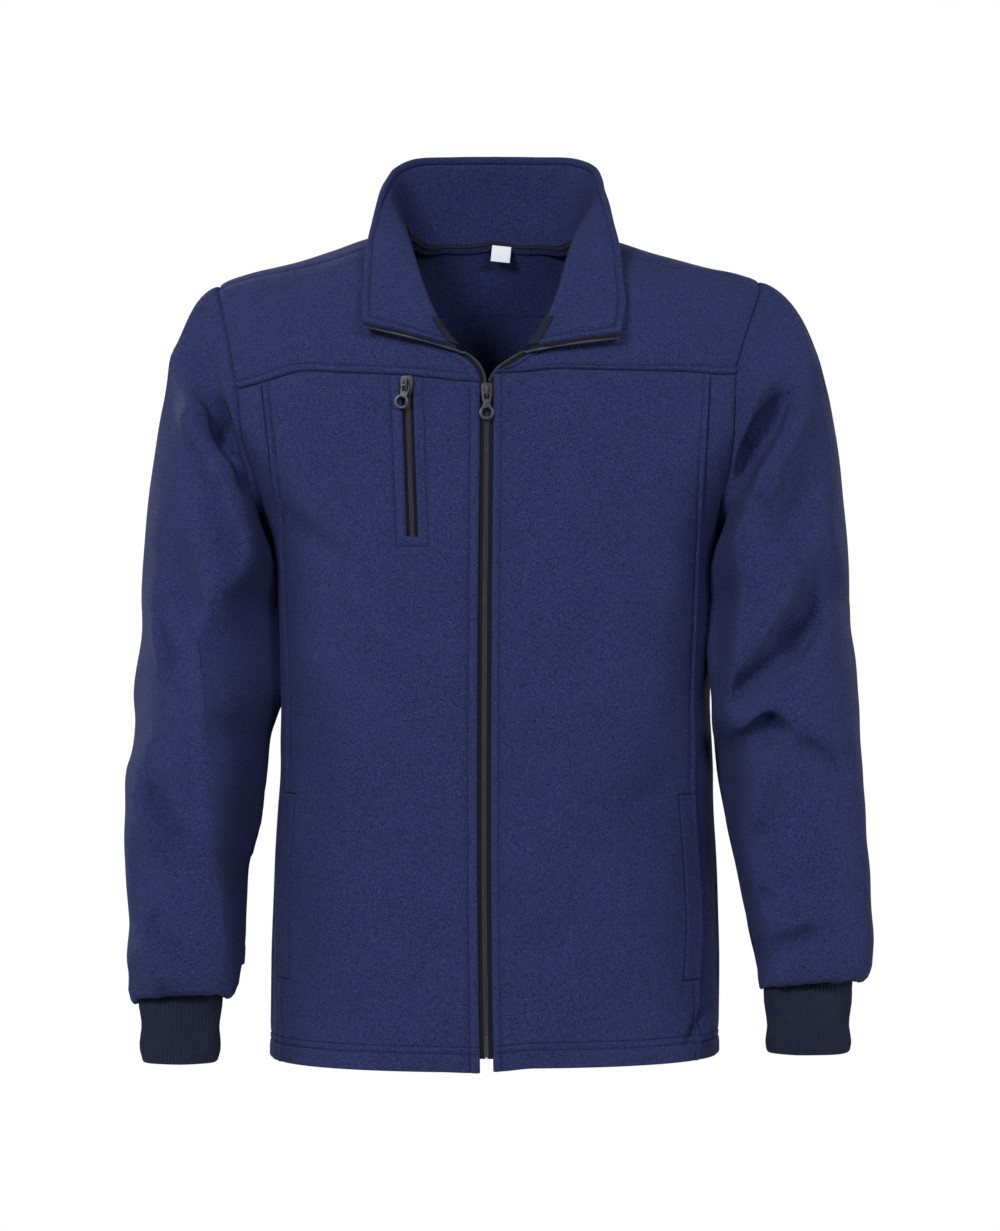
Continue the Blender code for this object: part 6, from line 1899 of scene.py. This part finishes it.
zinc = hard_material("painted_zinc", (0.009, 0.009, 0.017), roughness=0.42, shine=0.22)


# --------------------------------------------------------------------- build
panels, yokes = {"back": back_panel()}, {"back": back_yoke()}
for side in SIDES:
    panels["front_" + side] = front_panel(side)
    panels["side_" + side] = side_panel(side)
    yokes[side] = front_yoke(side)
    sleeve(side)
    cuff(side)
collar = Collar()
collar_layers = [collar_layer("collar_inner", 1.0), collar_layer("collar_outer", -1.0)]
neck_tapes()
front_zip()
pocket_zip()
topstitching()
rounded_piece("label_blank", "size_label", satin, "jacket", radius=0.25, segments=2)
rounded_piece("slider_front", "zip_slider", zinc, "jacket", radius=0.35)
rounded_piece("slider_pocket", "pocket_zip_slider", zinc, "jacket", radius=0.35)
rounded_piece("pull_front", "zip_pull", zinc, "zip_pull_tab", radius=0.3)
rounded_piece("pull_pocket", "pocket_zip_pull", zinc, "pocket_zip_pull_tab", radius=0.3)


# ---------------------------------------------------------- studio and camera
def studio_floor():
    angles = np.linspace(0, 2 * math.pi, FLOOR_SIDES, endpoint=False)
    points = [(FLOOR_RADIUS * math.cos(a), FLOOR_RADIUS * math.sin(a), FLOOR_LEVEL) for a in angles]
    mesh = bpy.data.meshes.new("studio_floor")
    mesh.from_pydata(points, [], [range(FLOOR_SIDES)])
    paint, _, shader = new_material("studio_paint")
    shader.inputs["Base Color"].default_value = FLOOR_SHADE
    shader.inputs["Roughness"].default_value = 0.9
    mesh.materials.append(paint)
    floor = bpy.data.objects.new("studio_floor", mesh)
    bpy.context.scene.collection.objects.link(floor)


def soft_light(name, place, size, power):
    data = bpy.data.lights.new(name, "AREA")
    data.shape, data.size, data.energy = "DISK", size, power
    lamp = bpy.data.objects.new(name, data)
    lamp.location = place
    lamp.rotation_euler = (Vector(LIT_POINT) - Vector(place)).to_track_quat("-Z", "Y").to_euler()
    bpy.context.scene.collection.objects.link(lamp)


def surround():
    """A white surround that shows behind the jacket, but lights it only a little."""
    world = bpy.data.worlds.new("studio_world")
    bpy.context.scene.world = world
    world.use_nodes = True
    tree = world.node_tree
    background = tree.nodes["Background"]
    background.inputs["Color"].default_value = (*WHITE, 1.0)
    rays = tree.nodes.new("ShaderNodeLightPath")
    strength = tree.nodes.new("ShaderNodeMapRange")
    strength.inputs["To Min"].default_value = SURROUND_LIGHT
    strength.inputs["To Max"].default_value = 1.0
    tree.links.new(rays.outputs["Is Camera Ray"], strength.inputs["Value"])
    tree.links.new(strength.outputs["Result"], background.inputs["Strength"])


studio_floor()
surround()
soft_light("key", (-1.3, -2.8, 1.0), size=0.8, power=122.0)
soft_light("fill", (1.4, -2.7, 0.9), size=0.9, power=63.0)
soft_light("side_left", (-2.9, -0.5, -0.2), size=1.1, power=40.0)
soft_light("side_right", (2.9, -0.5, -0.2), size=1.1, power=44.0)
soft_light("rear_left", (-1.8, 2.8, 1.2), size=0.6, power=84.0)
soft_light("rear_right", (1.5, 3.0, 0.8), size=0.8, power=44.0)

lens = bpy.data.cameras.new("camera")
lens.sensor_fit, lens.lens = "VERTICAL", LENS
lens.sensor_height = lens.sensor_width = SENSOR
camera = bpy.data.objects.new("camera", lens)
camera.location = CAMERA_PLACE
camera.rotation_euler = (math.radians(90), 0.0, 0.0)
bpy.context.scene.collection.objects.link(camera)
bpy.context.scene.camera = camera
bpy.context.scene.view_settings.view_transform = "Standard"
